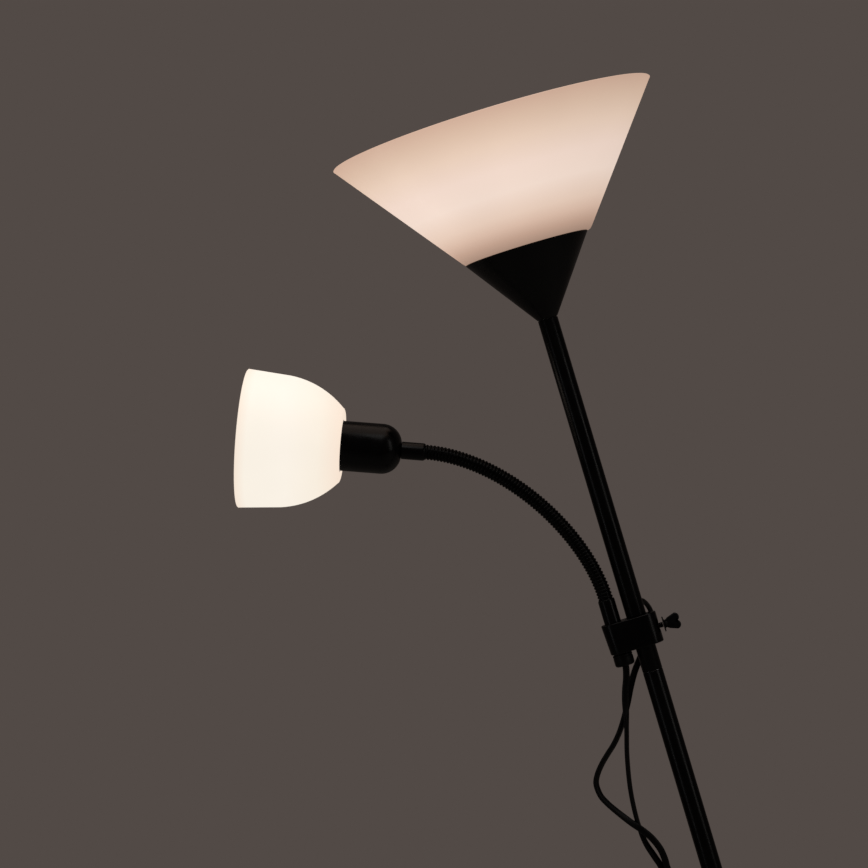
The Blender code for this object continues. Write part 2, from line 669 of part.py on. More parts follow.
def hose_at(distance):
    """Point and direction at a distance along the hose."""
    after = next(i for i, mark in enumerate(HOSE_MARKS) if i and mark >= min(distance, HOSE_LENGTH))
    before = after - 1
    share = (distance - HOSE_MARKS[before]) / (HOSE_MARKS[after] - HOSE_MARKS[before])
    spot = HOSE_FINE[before].lerp(HOSE_FINE[after], share)
    return spot, (HOSE_FINE[after] - HOSE_FINE[before]).normalized()


def link_mesh(name, start, end, origin, sides=12, steps=2):
    """A short bent tube along the hose, told from its hinge's place."""
    bm = bmesh.new()
    rings = []
    for i in range(steps + 1):
        center, along = hose_at(start + (end - start) * i / steps)
        side = Vector((0, 1, 0))
        lift = along.cross(side)
        both = []
        for radius in (HOSE_RADIUS, HOSE_BORE):
            ring = []
            for k in range(sides):
                angle = 2 * math.pi * k / sides
                spot = center + radius * (math.cos(angle) * lift + math.sin(angle) * side)
                ring.append(bm.verts.new(spot - origin))
            both.append(ring)
        rings.append(both)
    for (outer_a, inner_a), (outer_b, inner_b) in zip(rings, rings[1:]):
        for k in range(sides):
            m = (k + 1) % sides
            bm.faces.new((outer_a[k], outer_a[m], outer_b[m], outer_b[k]))
            bm.faces.new((inner_a[m], inner_a[k], inner_b[k], inner_b[m]))
    for outer, inner in (rings[0], rings[-1]):
        for k in range(sides):
            m = (k + 1) % sides
            bm.faces.new((outer[k], outer[m], inner[m], inner[k]))
    return mesh_from(bm, name)


def make_gland(frame, parent, top, low):
    """A cap whose spigot sits in the ferrule, bored for the cord."""
    body = [(0, low), (GLAND_RADIUS - 0.0016, low), (GLAND_RADIUS, low + 0.0016),
            (GLAND_RADIUS, top - 0.0006), (GLAND_RADIUS - 0.0006, top), (0, top)]
    gland = turned("arm_gland", body, 20, BLACK_PLASTIC, frame, parent)
    spigot = rod_guide("gland_spigot", FERRULE_BORE - GAP, top - 0.002, top + GLAND_SPIGOT, frame, parent, 16)
    cut(gland, [spigot], "UNION")
    bore = READING_CORD_RADIUS + EASE
    cut(gland, [rod_guide("gland_bore", bore, low - 0.002, top + GLAND_SPIGOT + 0.002, frame, parent, 16)])


def make_arm():
    """The ferrule turns in the clamp; the gland below carries the cord out."""
    frame = at(-ARM_OFFSET, 0, CLAMP_Z)
    arm_axis = add_axis("arm_axis", frame)
    half = CLAMP_HEIGHT / 2
    tail = -half - FERRULE_TAIL
    turned("arm_ferrule",
           tube_profile(FERRULE_BORE, FERRULE_RADIUS, tail, FERRULE_TOP, 0.0007), 20, BLACK_PAINT,
           frame, arm_axis)
    make_gland(frame, arm_axis, tail - GAP, -half - GAP - GLAND_LENGTH)
    parent = arm_axis
    for number in range(HOSE_LINKS):
        start = number * LINK_STEP + LINK_GAP / 2
        end = (number + 1) * LINK_STEP - LINK_GAP / 2
        origin = Vector((-ARM_OFFSET, 0, CLAMP_Z))
        if number == 0:
            start = GAP
        else:
            origin = hose_at(number * LINK_STEP)[0]
            parent = add_axis(f"neck_hinge_{number}", Matrix.Translation(origin), parent)
        if number == HOSE_LINKS - 1:
            end = HOSE_LENGTH - GAP
        name = f"neck_link_{number + 1}"
        add_object(name, link_mesh(name, start, end, origin), BLACK_PAINT,
                   Matrix.Translation(origin), parent)
    return parent


# ---------------------------------------------------------------- reading head

def head_frame():
    """Origin at the middle of the shade's mouth, local Z from the mouth to the hose."""
    along = Vector((math.cos(HEAD_TILT), 0, -math.sin(HEAD_TILT)))
    side = Vector((0, 1, 0))
    up = side.cross(along)
    length = READING_LENGTH - READING_FLOOR_DEPTH + READING_CUP_LENGTH + HEAD_FERRULE_LENGTH
    mouth = hose_point(1.0) - length * along
    turn = Matrix((up, side, along)).transposed().to_4x4()
    return Matrix.Translation(mouth) @ turn


def make_head(parent):
    frame = head_frame()
    floor_outside = READING_LENGTH - READING_FLOOR_DEPTH
    dome_top = floor_outside + READING_CUP_LENGTH
    ferrule_end = dome_top + HEAD_FERRULE_LENGTH
    spigot = NIPPLE_RADIUS
    spigot_low = dome_top - 0.0120
    turned("head_ferrule",
           [(NIPPLE_BORE, spigot_low), (spigot, spigot_low), (spigot, dome_top + GAP),
            (HEAD_FERRULE_RADIUS, dome_top + GAP), (HEAD_FERRULE_RADIUS, ferrule_end - 0.0007),
            (HEAD_FERRULE_RADIUS - 0.0007, ferrule_end), (HOSE_BORE, ferrule_end),
            (HOSE_BORE, dome_top + 0.0030), (NIPPLE_BORE, dome_top + 0.0030)],
           20, BLACK_PAINT, frame, parent)
    make_reading_cup(frame, parent, floor_outside, dome_top)
    nut_high = dome_top - READING_CUP_WALL - 0.0012 - GAP
    add_object("head_locknut",
               hexagon_mesh("head_locknut", LOCKNUT_WIDTH, nut_high - LOCKNUT_HEIGHT, nut_high,
                            spigot + GAP), BRASS, frame, parent)
    make_reading_holder(frame, parent, floor_outside)
    make_reading_shade(frame, parent, floor_outside)
    flipped = frame @ at(z=floor_outside - 0.0080) @ Matrix.Rotation(math.pi, 4, "X")
    make_bulb("reading", flipped, 0.0, READING_CAP_RADIUS, READING_CAP_LENGTH,
              READING_BULB_RADIUS, READING_BULB_LENGTH)
    for name in ("reading_bulb_cap", "reading_bulb_glass"):
        bulb = bpy.data.objects[name]
        bulb.parent = parent
        bulb.matrix_parent_inverse = parent.matrix_world.inverted()


def make_reading_cup(frame, parent, low, top):
    """A deep cup with a domed end towards the hose and a small flange at the shade."""
    radius = READING_CUP_RADIUS
    inner = radius - READING_CUP_WALL
    start = low + GAP
    rise = radius * 0.98
    straight = top - rise
    hole = NIPPLE_RADIUS + GAP
    dome = []
    lining = []
    for angle in (0, 24, 48, 70):
        share = math.radians(angle)
        dome.append((radius * math.cos(share), straight + rise * math.sin(share)))
        lining.append((inner * math.cos(share), straight + (rise - READING_CUP_WALL) * math.sin(share)))
    flat = top - 0.0002
    outside = [(radius + READING_CUP_FLANGE, start), (radius + READING_CUP_FLANGE, start + 0.0014),
               (radius, start + 0.0014)] + dome + [(hole, flat)]
    inside = [(hole, top - READING_CUP_WALL - 0.0010)] + lining[::-1] + [(inner, start)]
    turned("reading_cup", outside + inside, 24, BLACK_PAINT, frame, parent)


def make_reading_holder(frame, parent, floor_outside):
    body = READING_HOLDER_RADIUS
    thread = body - 0.0010
    socket = READING_CAP_RADIUS + GAP
    front = floor_outside - 0.0120
    shelf = floor_outside + GAP
    back = floor_outside + 0.0380
    cap_end = floor_outside - 0.0080 + READING_CAP_LENGTH + 0.0010
    profile = [(thread, front), (thread, shelf), (body + 0.0045, shelf), (body + 0.0045, shelf + 0.0018),
               (body, shelf + 0.0018), (body, back - 0.0060), (body - 0.0050, back),
               (NIPPLE_BORE, back), (NIPPLE_BORE, cap_end), (socket, cap_end), (socket, front)]
    turned("reading_lampholder", profile, 16, CERAMIC, frame, parent)
    ring_high = floor_outside - READING_WALL - GAP
    turned("reading_shade_ring",
           tube_profile(thread + GAP, body + 0.0050, ring_high - 0.0050, ring_high, 0.0008),
           16, CERAMIC, frame, parent)


def shade_side(count):
    """Outside of the reading shade from the skirt to the shoulder: one arc that starts
    nearly in line with the skirt."""
    start = Vector((READING_SKIRT_RADIUS, READING_SKIRT_LENGTH))
    end = Vector((READING_SHOULDER_RADIUS, READING_SHOULDER_STATION))
    lead = math.radians(7.0)
    chord = end - start
    chord_angle = math.atan2(-chord.x, chord.y)
    sweep = 2 * (chord_angle - lead)
    radius = chord.length / (2 * math.sin(sweep / 2))
    center = start + radius * Vector((-math.cos(lead), -math.sin(lead)))
    points = []
    for i in range(count + 1):
        angle = lead + sweep * i / count
        points.append((center.x + radius * math.cos(angle), center.y + radius * math.sin(angle)))
    return points


def inward(points, wall):
    """Offset an open (radius, station) run to its inner side."""
    moved = []
    for i, (radius, station) in enumerate(points):
        before = points[max(0, i - 1)]
        after = points[min(len(points) - 1, i + 1)]
        run = Vector((after[0] - before[0], after[1] - before[1])).normalized()
        moved.append((radius - wall * run.y, station + wall * run.x))
    return moved


def make_reading_shade(frame, parent, floor_outside):
    """A bell with a rounded shoulder; its floor is recessed and takes the cup's flange."""
    hole = READING_HOLDER_RADIUS - 0.0010 + GAP
    recess = READING_CUP_RADIUS + READING_CUP_FLANGE + EASE
    wall = READING_WALL
    side = [(READING_MOUTH_RADIUS, 0.0)] + shade_side(4)
    ledge = READING_SHOULDER_RADIUS - READING_ROUND * 0.9
    shoulder = [(ledge + READING_ROUND * 0.35, READING_LENGTH - READING_ROUND * 0.25),
                (ledge, READING_LENGTH), (recess + 0.0012, READING_LENGTH),
                (recess, READING_LENGTH - 0.0012)]
    floor_inside = floor_outside - wall
    outside = side + shoulder + [(recess, floor_outside), (hole, floor_outside)]
    inside = [(hole, floor_inside), (recess + wall, floor_inside),
              (recess + wall, READING_LENGTH - wall), (ledge - wall * 0.4, READING_LENGTH - wall)]
    inside += inward(side, wall)[::-1]
    turned("reading_shade", outside + inside, 32, OPAL, frame, parent)


# ---------------------------------------------------------------- cords

# Route points, (x, y, z). The first two cords are told from the clamp's middle. The
# mains cord's heights are shares of the height of the switch's lower end.
UPLIGHT_ROUTE = [
    (0.0107, 0.0153, 0.0286), (0.0134, 0.0192, 0.0259), (0.0154, 0.0220, 0.0217),
    (0.0165, 0.0236, 0.0165), (0.0161, 0.0241, 0.0090), (0.0134, 0.0243, 0.0005),
    (0.0090, 0.0238, -0.0080), (0.0035, 0.0225, -0.0155), (-0.0028, 0.0207, -0.0225),
    (-0.0091, 0.0188, -0.0288), (-0.0189, 0.0165, -0.0412), (-0.0274, 0.0145, -0.0552),
    (-0.0354, 0.0108, -0.0705), (-0.0443, 0.0082, -0.0851), (-0.0518, 0.0070, -0.0958),
    (-0.0604, 0.0070, -0.1055), (-0.0701, 0.0070, -0.1141), (-0.0786, 0.0070, -0.1222),
    (-0.0857, 0.0070, -0.1310), (-0.0897, 0.0068, -0.1400), (-0.0889, 0.0062, -0.1521),
    (-0.0847, 0.0050, -0.1614), (-0.0784, 0.0030, -0.1710), (-0.0714, 0.0004, -0.1805),
    (-0.0651, -0.0020, -0.1885), (-0.0581, -0.0034, -0.1967), (-0.0506, -0.0030, -0.2078),
    (-0.0453, -0.0020, -0.2210), (-0.0437, -0.0010, -0.2330), (-0.0438, -0.0004, -0.2430),
]
READING_ROUTE = [
    (-0.0262, 0.0000, -0.0350), (-0.0288, 0.0000, -0.0439), (-0.0326, 0.0000, -0.0535),
    (-0.0359, 0.0000, -0.0640), (-0.0392, 0.0000, -0.0781), (-0.0434, 0.0000, -0.0942),
    (-0.0506, 0.0002, -0.1201), (-0.0567, 0.0010, -0.1506), (-0.0594, 0.0022, -0.1768),
    (-0.0596, 0.0030, -0.1985), (-0.0577, 0.0034, -0.2134), (-0.0530, 0.0034, -0.2290),
    (-0.0496, 0.0032, -0.2410),
]
MAINS_ROUTE = [
    (-0.0456, 0.0022, 0.9490), (-0.0462, 0.0040, 0.8650), (-0.0475, 0.0080, 0.7450),
    (-0.0492, 0.0140, 0.6120), (-0.0514, 0.0220, 0.4800), (-0.0540, 0.0320, 0.3600),
    (-0.0570, 0.0450, 0.2520), (-0.0600, 0.0620, 0.1620), (-0.0640, 0.0840, 0.0937),
    (-0.0690, 0.1080, 0.0516), (-0.0750, 0.1300, 0.0276), (-0.0810, 0.1520, 0.0120),
    (-0.0858, 0.1740, 0.0048), (-0.0888, 0.2000, 0.0038),
]


def smooth_route(points, spacing):
    """Catmull-Rom through the points, read again at even spacing."""
    spots = [Vector(p) for p in points]
    spots = [2 * spots[0] - spots[1]] + spots + [2 * spots[-1] - spots[-2]]
    fine = []
    for a, b, c, d in zip(spots, spots[1:], spots[2:], spots[3:]):
        for i in range(40):
            t = i / 40
            fine.append(0.5 * (2 * b + (c - a) * t + (2 * a - 5 * b + 4 * c - d) * t * t
                               + (3 * b - a - 3 * c + d) * t ** 3))
    fine.append(spots[-2])
    total = sum((q - p).length for p, q in zip(fine, fine[1:]))
    count = max(2, round(total / spacing))
    chosen = [fine[0]]
    travelled = 0.0
    for p, q in zip(fine, fine[1:]):
        travelled += (q - p).length
        if travelled >= total * len(chosen) / count and len(chosen) < count:
            chosen.append(q)
    return chosen + [fine[-1]]


def add_cord(name, points, radius, step):
    curve = bpy.data.curves.new(name, "CURVE")
    curve.dimensions = "3D"
    curve.bevel_depth = radius
    curve.bevel_resolution = CORD_ROUNDING
    curve.use_fill_caps = True
    route = smooth_route(points, step * 2 * radius)
    spline = curve.splines.new("POLY")
    spline.points.add(len(route) - 1)
    for point, spot in zip(spline.points, route):
        point.co = (*spot, 1.0)
    return add_object(name, curve, BLACK_RUBBER)


def make_cords():
    base = Vector((0, 0, CLAMP_Z))
    out = exit_frame()
    mouth = out @ Vector((0, 0, POLE_RADIUS + GROMMET_LENGTH + GAP))
    route = [mouth] + [base + Vector(p) for p in UPLIGHT_ROUTE]
    route += [Vector((SWITCH_X + CORD_SPREAD, SWITCH_Y, SWITCH_TOP + height))
              for height in (CORD_ENTRY, GAP)]
    add_cord("uplight_cord", route, UPLIGHT_CORD_RADIUS, CORD_STEP)
    mouth = base + Vector((-ARM_OFFSET, 0, -CLAMP_HEIGHT / 2 - GAP - GLAND_LENGTH - GAP))
    route = [mouth] + [base + Vector(p) for p in READING_ROUTE]
    route += [Vector((SWITCH_X - CORD_SPREAD, SWITCH_Y, SWITCH_TOP + height))
              for height in (CORD_ENTRY, GAP)]
    add_cord("reading_cord", route, READING_CORD_RADIUS, CORD_STEP)
    boot_end = SWITCH_TOP - SWITCH_HEIGHT - GAP - BOOT_LENGTH
    route = [Vector((SWITCH_X, SWITCH_Y, boot_end - GAP))]
    route += [Vector((x, y, max(LYING_HEIGHT, share * boot_end))) for x, y, share in MAINS_ROUTE]
    beside = COIL_X - COIL_SIDE
    route += [Vector((beside, COIL_Y + TAIL_LENGTH * share, LYING_HEIGHT)) for share in (0, 0.3)]
    route += [Vector((beside, COIL_Y + TAIL_LENGTH * share, PLUG_HEIGHT / 2)) for share in (0.8, 1)]
    add_cord("mains_cord", route, MAINS_CORD_RADIUS, MAINS_STEP)


def make_coil_and_plug():
    low = COIL_RADIUS - COIL_WIDTH / 2
    high = COIL_RADIUS + COIL_WIDTH / 2
    chamfer = MAINS_CORD_RADIUS * 0.8
    profile = [(low + chamfer, 0), (high - chamfer, 0), (high, chamfer), (high, COIL_HEIGHT - chamfer),
               (high - chamfer, COIL_HEIGHT), (low + chamfer, COIL_HEIGHT),
               (low, COIL_HEIGHT - chamfer), (low, chamfer)]
    turned("mains_coil", profile, 24, BLACK_RUBBER, at(COIL_X, COIL_Y, 0.0))
    frame = plug_frame()
    outline = [(-MAINS_CORD_RADIUS - 0.0010, 0.0), (MAINS_CORD_RADIUS + 0.0010, 0.0),
               (MAINS_CORD_RADIUS + 0.0030, PLUG_BOOT_LENGTH), (PLUG_WIDTH / 2 - 0.003, PLUG_BOOT_LENGTH + 0.004),
               (PLUG_WIDTH / 2, PLUG_BOOT_LENGTH + 0.009),
               (PLUG_WIDTH / 2 - 0.002, PLUG_BOOT_LENGTH + PLUG_BODY_LENGTH)]
    outline += [(-x, y) for x, y in outline[:1:-1]]
    half = PLUG_HEIGHT / 2
    body = add_object("plug_body", prism_mesh("plug_body", outline, -half, half, 0.0022), BLACK_PLASTIC, frame)
    along = Matrix.Rotation(-math.pi / 2, 4, "X")
    holes = []
    face = PLUG_BOOT_LENGTH + PLUG_BODY_LENGTH
    for number, side in enumerate((-1, 1)):
        pin_frame = frame @ at(side * PLUG_PIN_PITCH / 2, 0, 0) @ along
        holes.append(rod_guide(f"plug_pin_hole_{number + 1}", PLUG_PIN_RADIUS + GAP, face - 0.008 - GAP,
                               face + 0.002, pin_frame, segments=16))
        tip = face + PLUG_PIN_LENGTH
        turned(f"plug_pin_{number + 1}",
               [(0, face - 0.008), (PLUG_PIN_RADIUS, face - 0.008), (PLUG_PIN_RADIUS, tip - 0.001),
                (PLUG_PIN_RADIUS * 0.6, tip), (0, tip)], 16, STEEL, pin_frame)
    cut(body, holes)


def plug_frame():
    """Local Y runs from the cord's end to the pins; the plug lies flat behind the coil."""
    return at(COIL_X - COIL_SIDE, COIL_Y + TAIL_LENGTH + GAP, PLUG_HEIGHT / 2)


# ---------------------------------------------------------------- switch

def switch_frame():
    """Middle of the switch, local Y up and local Z out of its front."""
    return at(SWITCH_X, SWITCH_Y, SWITCH_MIDDLE) @ Matrix.Rotation(math.pi / 2, 4, "X")


def tray(name, inner_side, depth, look, parent):
    """Half of the switch's case: an open tray whose floor is the outer face."""
    frame = switch_frame()
    side = 1 if inner_side < 0 else -1
    outer = prism_mesh(name, rounded_rectangle(SWITCH_WIDTH, SWITCH_HEIGHT, SWITCH_CORNER, 4),
                       min(0, side * depth), max(0, side * depth))
    shell = add_object(name, outer, look, frame @ at(0, 0, side * GAP / 2), parent)
    hollow = prism_mesh(name + "_hollow",
                        rounded_rectangle(SWITCH_WIDTH - 2 * SWITCH_WALL, SWITCH_HEIGHT - 2 * SWITCH_WALL,
                                          SWITCH_CORNER - SWITCH_WALL, 3),
                        min(-side * 0.001, side * (depth - SWITCH_WALL)),
                        max(-side * 0.001, side * (depth - SWITCH_WALL)))
    guide = add_object(name + "_hollow", hollow, look, frame @ at(0, 0, side * GAP / 2), parent)
    cut(shell, [guide])
    return shell


def make_switch():
    frame = switch_frame()
    depth = SWITCH_DEPTH / 2
    front = tray("switch_front_shell", -1, depth, BLACK_PLASTIC, None)
    back = tray("switch_back_shell", 1, depth, BLACK_PLASTIC, None)
    windows = []
    for name, side in (("switch_rocker_uplight", 1), ("switch_rocker_reading", -1)):
        spot = frame @ at(side * ROCKER_PITCH / 2, 0.0040, depth)
        window = prism_mesh(name + "_window",
                            rounded_rectangle(ROCKER_WIDTH + 2 * EASE, ROCKER_HEIGHT + 4 * EASE, 0.001, 1),
                            -0.006, 0.006)
        windows.append(add_object(name + "_window", window, BLACK_PLASTIC, spot))
        make_rocker(name, spot)
    cut(front, windows)
    turned("switch_screw",
           [(0, -depth + 0.0002), (SWITCH_SCREW_RADIUS, -depth + 0.0002),
            (SWITCH_SCREW_RADIUS, -depth + 0.0012), (0.0014, -depth + 0.0028), (0.0014, depth - 0.0030),
            (0, depth - 0.0030)], 16, STEEL, frame @ at(0, -SWITCH_HEIGHT * 0.36, 0))
    cut(back, [rod_guide("switch_screw_hole", SWITCH_SCREW_RADIUS + GAP, -depth - 0.002, -depth + 0.004,
                         frame @ at(0, -SWITCH_HEIGHT * 0.36, 0), segments=20)])
    boot = frame @ at(0, -SWITCH_HEIGHT / 2 - GAP, 0) @ Matrix.Rotation(math.pi / 2, 4, "X")
    turned("switch_boot", [(0, 0), (BOOT_TOP_RADIUS, 0), (BOOT_TIP_RADIUS, BOOT_LENGTH), (0, BOOT_LENGTH)],
           20, BLACK_PLASTIC, boot)


def make_rocker(name, spot):
    """A two-faced paddle on a hinge across the case; it rests with its top pressed."""
    axis = add_axis(name + "_axis", spot @ Matrix.Rotation(-ROCKER_TILT, 4, "X"))
    half = ROCKER_HEIGHT / 2
    rise = half * math.tan(ROCKER_TILT)
    side = [(-half, -0.0040), (half, -0.0040), (half, 0.0008 + rise), (0.0, 0.0008),
            (-half, 0.0008 + rise)]
    mesh = prism_mesh(name, side, -ROCKER_WIDTH / 2, ROCKER_WIDTH / 2)
    turn = Matrix.Rotation(math.pi / 2, 4, "Z") @ Matrix.Rotation(math.pi / 2, 4, "X")
    add_object(name, mesh, BLACK_PLASTIC, axis.matrix_world @ turn, axis)


# ---------------------------------------------------------------- assembly

def main():
    clear_scene()
    make_base()
    make_pole()
    make_uplighter()
    make_clamp()
    head_body = make_arm()
    make_head(head_body)
    make_cords()
    make_switch()
    make_coil_and_plug()


main()
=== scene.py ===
"""Looks of a torchiere floor lamp with a reading arm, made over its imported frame.

Metres, +Z up. The pole stands on the origin, the reading arm reaches towards -X and the
lamp's front is -Y. Each piece's place comes from the frame's own nodes.
"""
import math

import bmesh
import bpy
from mathutils import Matrix, Vector


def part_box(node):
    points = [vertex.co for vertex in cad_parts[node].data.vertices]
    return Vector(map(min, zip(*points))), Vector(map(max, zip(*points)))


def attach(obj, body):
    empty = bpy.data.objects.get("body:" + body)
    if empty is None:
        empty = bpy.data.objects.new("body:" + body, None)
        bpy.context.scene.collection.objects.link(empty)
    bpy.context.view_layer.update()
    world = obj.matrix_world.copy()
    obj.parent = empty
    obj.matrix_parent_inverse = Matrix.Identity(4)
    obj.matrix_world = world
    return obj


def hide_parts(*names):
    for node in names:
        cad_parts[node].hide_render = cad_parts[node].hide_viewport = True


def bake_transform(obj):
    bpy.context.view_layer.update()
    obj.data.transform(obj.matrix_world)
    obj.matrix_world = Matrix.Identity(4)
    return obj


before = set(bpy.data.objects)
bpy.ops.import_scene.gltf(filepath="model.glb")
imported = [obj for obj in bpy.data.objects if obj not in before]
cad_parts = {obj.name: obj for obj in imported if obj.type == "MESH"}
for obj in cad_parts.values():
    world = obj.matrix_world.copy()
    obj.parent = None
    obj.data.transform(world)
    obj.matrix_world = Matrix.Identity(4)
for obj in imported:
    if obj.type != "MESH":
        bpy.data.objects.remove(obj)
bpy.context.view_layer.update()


def low(node):
    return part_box(node)[0]


def high(node):
    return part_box(node)[1]


def middle(node):
    return (low(node) + high(node)) / 2


def size(node):
    return high(node) - low(node)


def moved(x, y, z):
    return Matrix.Translation((x, y, z))


def turned_by(degrees, axis):
    return Matrix.Rotation(math.radians(degrees), 4, axis)


# Heights and radii read from the frame
NECK = high("pole_tube_1").z
POLE_RADIUS = high("pole_tube_1").x
POLE_WALL = 0.0010
CLAMP_LOW = low("arm_clamp").z
CLAMP_HIGH = high("arm_clamp").z
CLAMP_Z = middle("arm_clamp").z
ARM_X = middle("arm_ferrule").x
FERRULE_RADIUS = high("arm_ferrule").y
FERRULE_TOP = high("arm_ferrule").z
SWITCH_MIDDLE = Vector((middle("switch_front_shell").x,
                        (low("switch_front_shell").y + high("switch_back_shell").y) / 2,
                        middle("switch_front_shell").z))
SWITCH_TOP = high("switch_front_shell").z
SWITCH_HEIGHT = size("switch_front_shell").z
SWITCH_WIDTH = size("switch_front_shell").x
SWITCH_DEPTH = high("switch_back_shell").y - low("switch_front_shell").y
COIL_MIDDLE = middle("mains_coil")

# Hose: a cubic curve from the arm's ferrule to the head's ferrule
HOSE_RADIUS = 0.0080
HOSE_LINKS = 7
HOSE_TURNS = 70
HOSE_REACH = 0.1355
HOSE_RISE = 0.1990
HOSE_RISE_HANDLE = 0.0720
HOSE_HEAD_HANDLE = 0.0830
HEAD_TILT = math.radians(21.0)

# Reading head, measured from the shade's mouth along its axis
SHADE_LENGTH = 0.1032
SHADE_FLOOR = 0.1006
CUP_LENGTH = 0.0640
HEAD_FERRULE_LENGTH = 0.0248

# Cords
FLAT_CORD = 0.0070           # width of the flat twin cord above the switch
FLAT_CORD_THICKNESS = 0.0042
MAINS_CORD = 0.0060          # diameter
EXIT_RISE = 0.0296           # above the clamp's middle
EXIT_ANGLE = math.radians(55.0)
GROMMET_FACE = 0.0129        # from the pole's axis
CORD_SPREAD = 0.0042         # each upper cord from the switch's middle
CORD_ENTRY = 0.0130          # straight run of a cord above the switch
GAP = 0.0003
BLACK_GLOSS = 0.16           # specular level of the black enamel and plastics


# ---------------------------------------------------------------- node tools

def tone(red, green, blue):
    """A display colour, 0 to 255, as linear light."""
    shares = []
    for value in (red, green, blue):
        share = value / 255
        shares.append(share / 12.92 if share < 0.04045 else ((share + 0.055) / 1.055) ** 2.4)
    return (*shares, 1.0)


def wired(tree, kind, sockets=None, **settings):
    """A new node; each of its named sockets gets a value, or a link where it is given a socket."""
    made = tree.nodes.new(kind)
    for name, value in settings.items():
        setattr(made, name, value)
    for name, value in (sockets or {}).items():
        if isinstance(value, bpy.types.NodeSocket):
            tree.links.new(value, made.inputs[name])
        else:
            made.inputs[name].default_value = value
    return made


def shader_of(look):
    return look.node_tree.nodes["Principled BSDF"]


def feed(look, source, socket):
    """Link source to one of the shader's sockets."""
    look.node_tree.links.new(source, shader_of(look).inputs[socket])


def new_look(name, color, roughness, metallic=0.0, specular=0.5):
    look = bpy.data.materials.new(name)
    look.use_nodes = True
    inputs = shader_of(look).inputs
    inputs["Base Color"].default_value = color
    inputs["Roughness"].default_value = roughness
    inputs["Metallic"].default_value = metallic
    inputs["Specular IOR Level"].default_value = specular
    return look


def own_place(look):
    return wired(look.node_tree, "ShaderNodeTexCoord").outputs["Object"]


def noise(look, scale, detail=3.0, stretch=(1.0, 1.0, 1.0)):
    """Noise on the piece's own coordinates, squeezed by stretch."""
    mapping = wired(look.node_tree, "ShaderNodeMapping", {"Vector": own_place(look), "Scale": stretch})
    return wired(look.node_tree, "ShaderNodeTexNoise", {"Vector": mapping.outputs["Vector"], "Scale": scale,
                                                        "Detail": detail}).outputs["Fac"]


def spread(look, source, low_end, high_end, start=0.3, stop=0.7):
    """Map a pattern from start..stop to low_end..high_end."""
    return wired(look.node_tree, "ShaderNodeMapRange",
                 {"Value": source, "From Min": start, "From Max": stop, "To Min": low_end,
                  "To Max": high_end}).outputs["Result"]


def ramp_color(look, source, stops):
    """The colour at source on a ramp of (share, colour) stops."""
    ramp = wired(look.node_tree, "ShaderNodeValToRGB", {"Fac": source})
    elements = ramp.color_ramp.elements
    while len(elements) < len(stops):
        elements.new(0.5)
    for element, (position, color) in zip(elements, stops):
        element.position = position
        element.color = color
    return ramp.outputs["Color"]


def vary_color(look, source, dark, light):
    feed(look, ramp_color(look, source, ((0.32, dark), (0.68, light))), "Base Color")


def vary_roughness(look, source, low_end, high_end):
    feed(look, spread(look, source, low_end, high_end), "Roughness")


def add_bump(look, source, depth):
    """Raise the surface by source, depth metres high; a second call adds to the first."""
    bump = wired(look.node_tree, "ShaderNodeBump", {"Height": source, "Strength": 1.0, "Distance": depth})
    normal = shader_of(look).inputs["Normal"]
    if normal.links:
        look.node_tree.links.new(normal.links[0].from_socket, bump.inputs["Normal"])
    feed(look, bump.outputs["Normal"], "Normal")


# ---------------------------------------------------------------- finishes

def finish(name, color, roughness, tint, gloss, bumps, metallic=0.0, specular=0.5):
    """A look from noises, each told as (scale, detail, stretch): tint is (noise, dark, light),
    gloss is (noise, low, high) and each bump is (noise, depth)."""
    look = new_look(name, color, roughness, metallic, specular)
    pattern, dark, light = tint
    vary_color(look, noise(look, *pattern), dark, light)
    pattern, low_end, high_end = gloss
    vary_roughness(look, noise(look, *pattern), low_end, high_end)
    for pattern, depth in bumps:
        add_bump(look, noise(look, *pattern), depth)
    return look


def moulded_plastic(name, shade, roughness):
    """Black moulded plastic with a fine spark-eroded texture."""
    return finish(name, shade, roughness, ((45.0,), tone(3, 3, 4), tone(6, 6, 6)),
                  ((180.0, 4.0), roughness - 0.06, roughness + 0.08), [((2100.0, 3.0), 0.000030)],
                  specular=BLACK_GLOSS)


def bare_metal(name, color, roughness, brushed):
    """Plated or turned metal with tool marks squeezed along Z."""
    marks = (brushed, 3.0, (1.0, 1.0, 9.0))
    dull = tuple(0.72 * value for value in color[:3]) + (1.0,)
    return finish(name, color, roughness, ((160.0, 4.0), dull, color),
                  (marks, roughness - 0.08, roughness + 0.10), [(marks, 0.000018)], metallic=1.0)


def felt():
    """Pressed black felt with loose fibres."""
    look = finish("felt", tone(30, 29, 30), 0.95, ((650.0, 8.0), tone(20, 20, 21), tone(52, 50, 49)),
                  ((300.0,), 0.86, 1.0), [((900.0, 8.0, (1.0, 1.0, 4.0)), 0.00025)], specular=0.2)
    shader_of(look).inputs["Sheen Weight"].default_value = 0.3
    return look


def glow_ramp(look, axis, start, stop, stops):
    """Colours along a line through the piece, from start to stop."""
    sockets = {0: own_place(look), 1: axis}
    along = wired(look.node_tree, "ShaderNodeVectorMath", sockets, operation="DOT_PRODUCT")
    return ramp_color(look, spread(look, along.outputs["Value"], 0.0, 1.0, start, stop), stops)


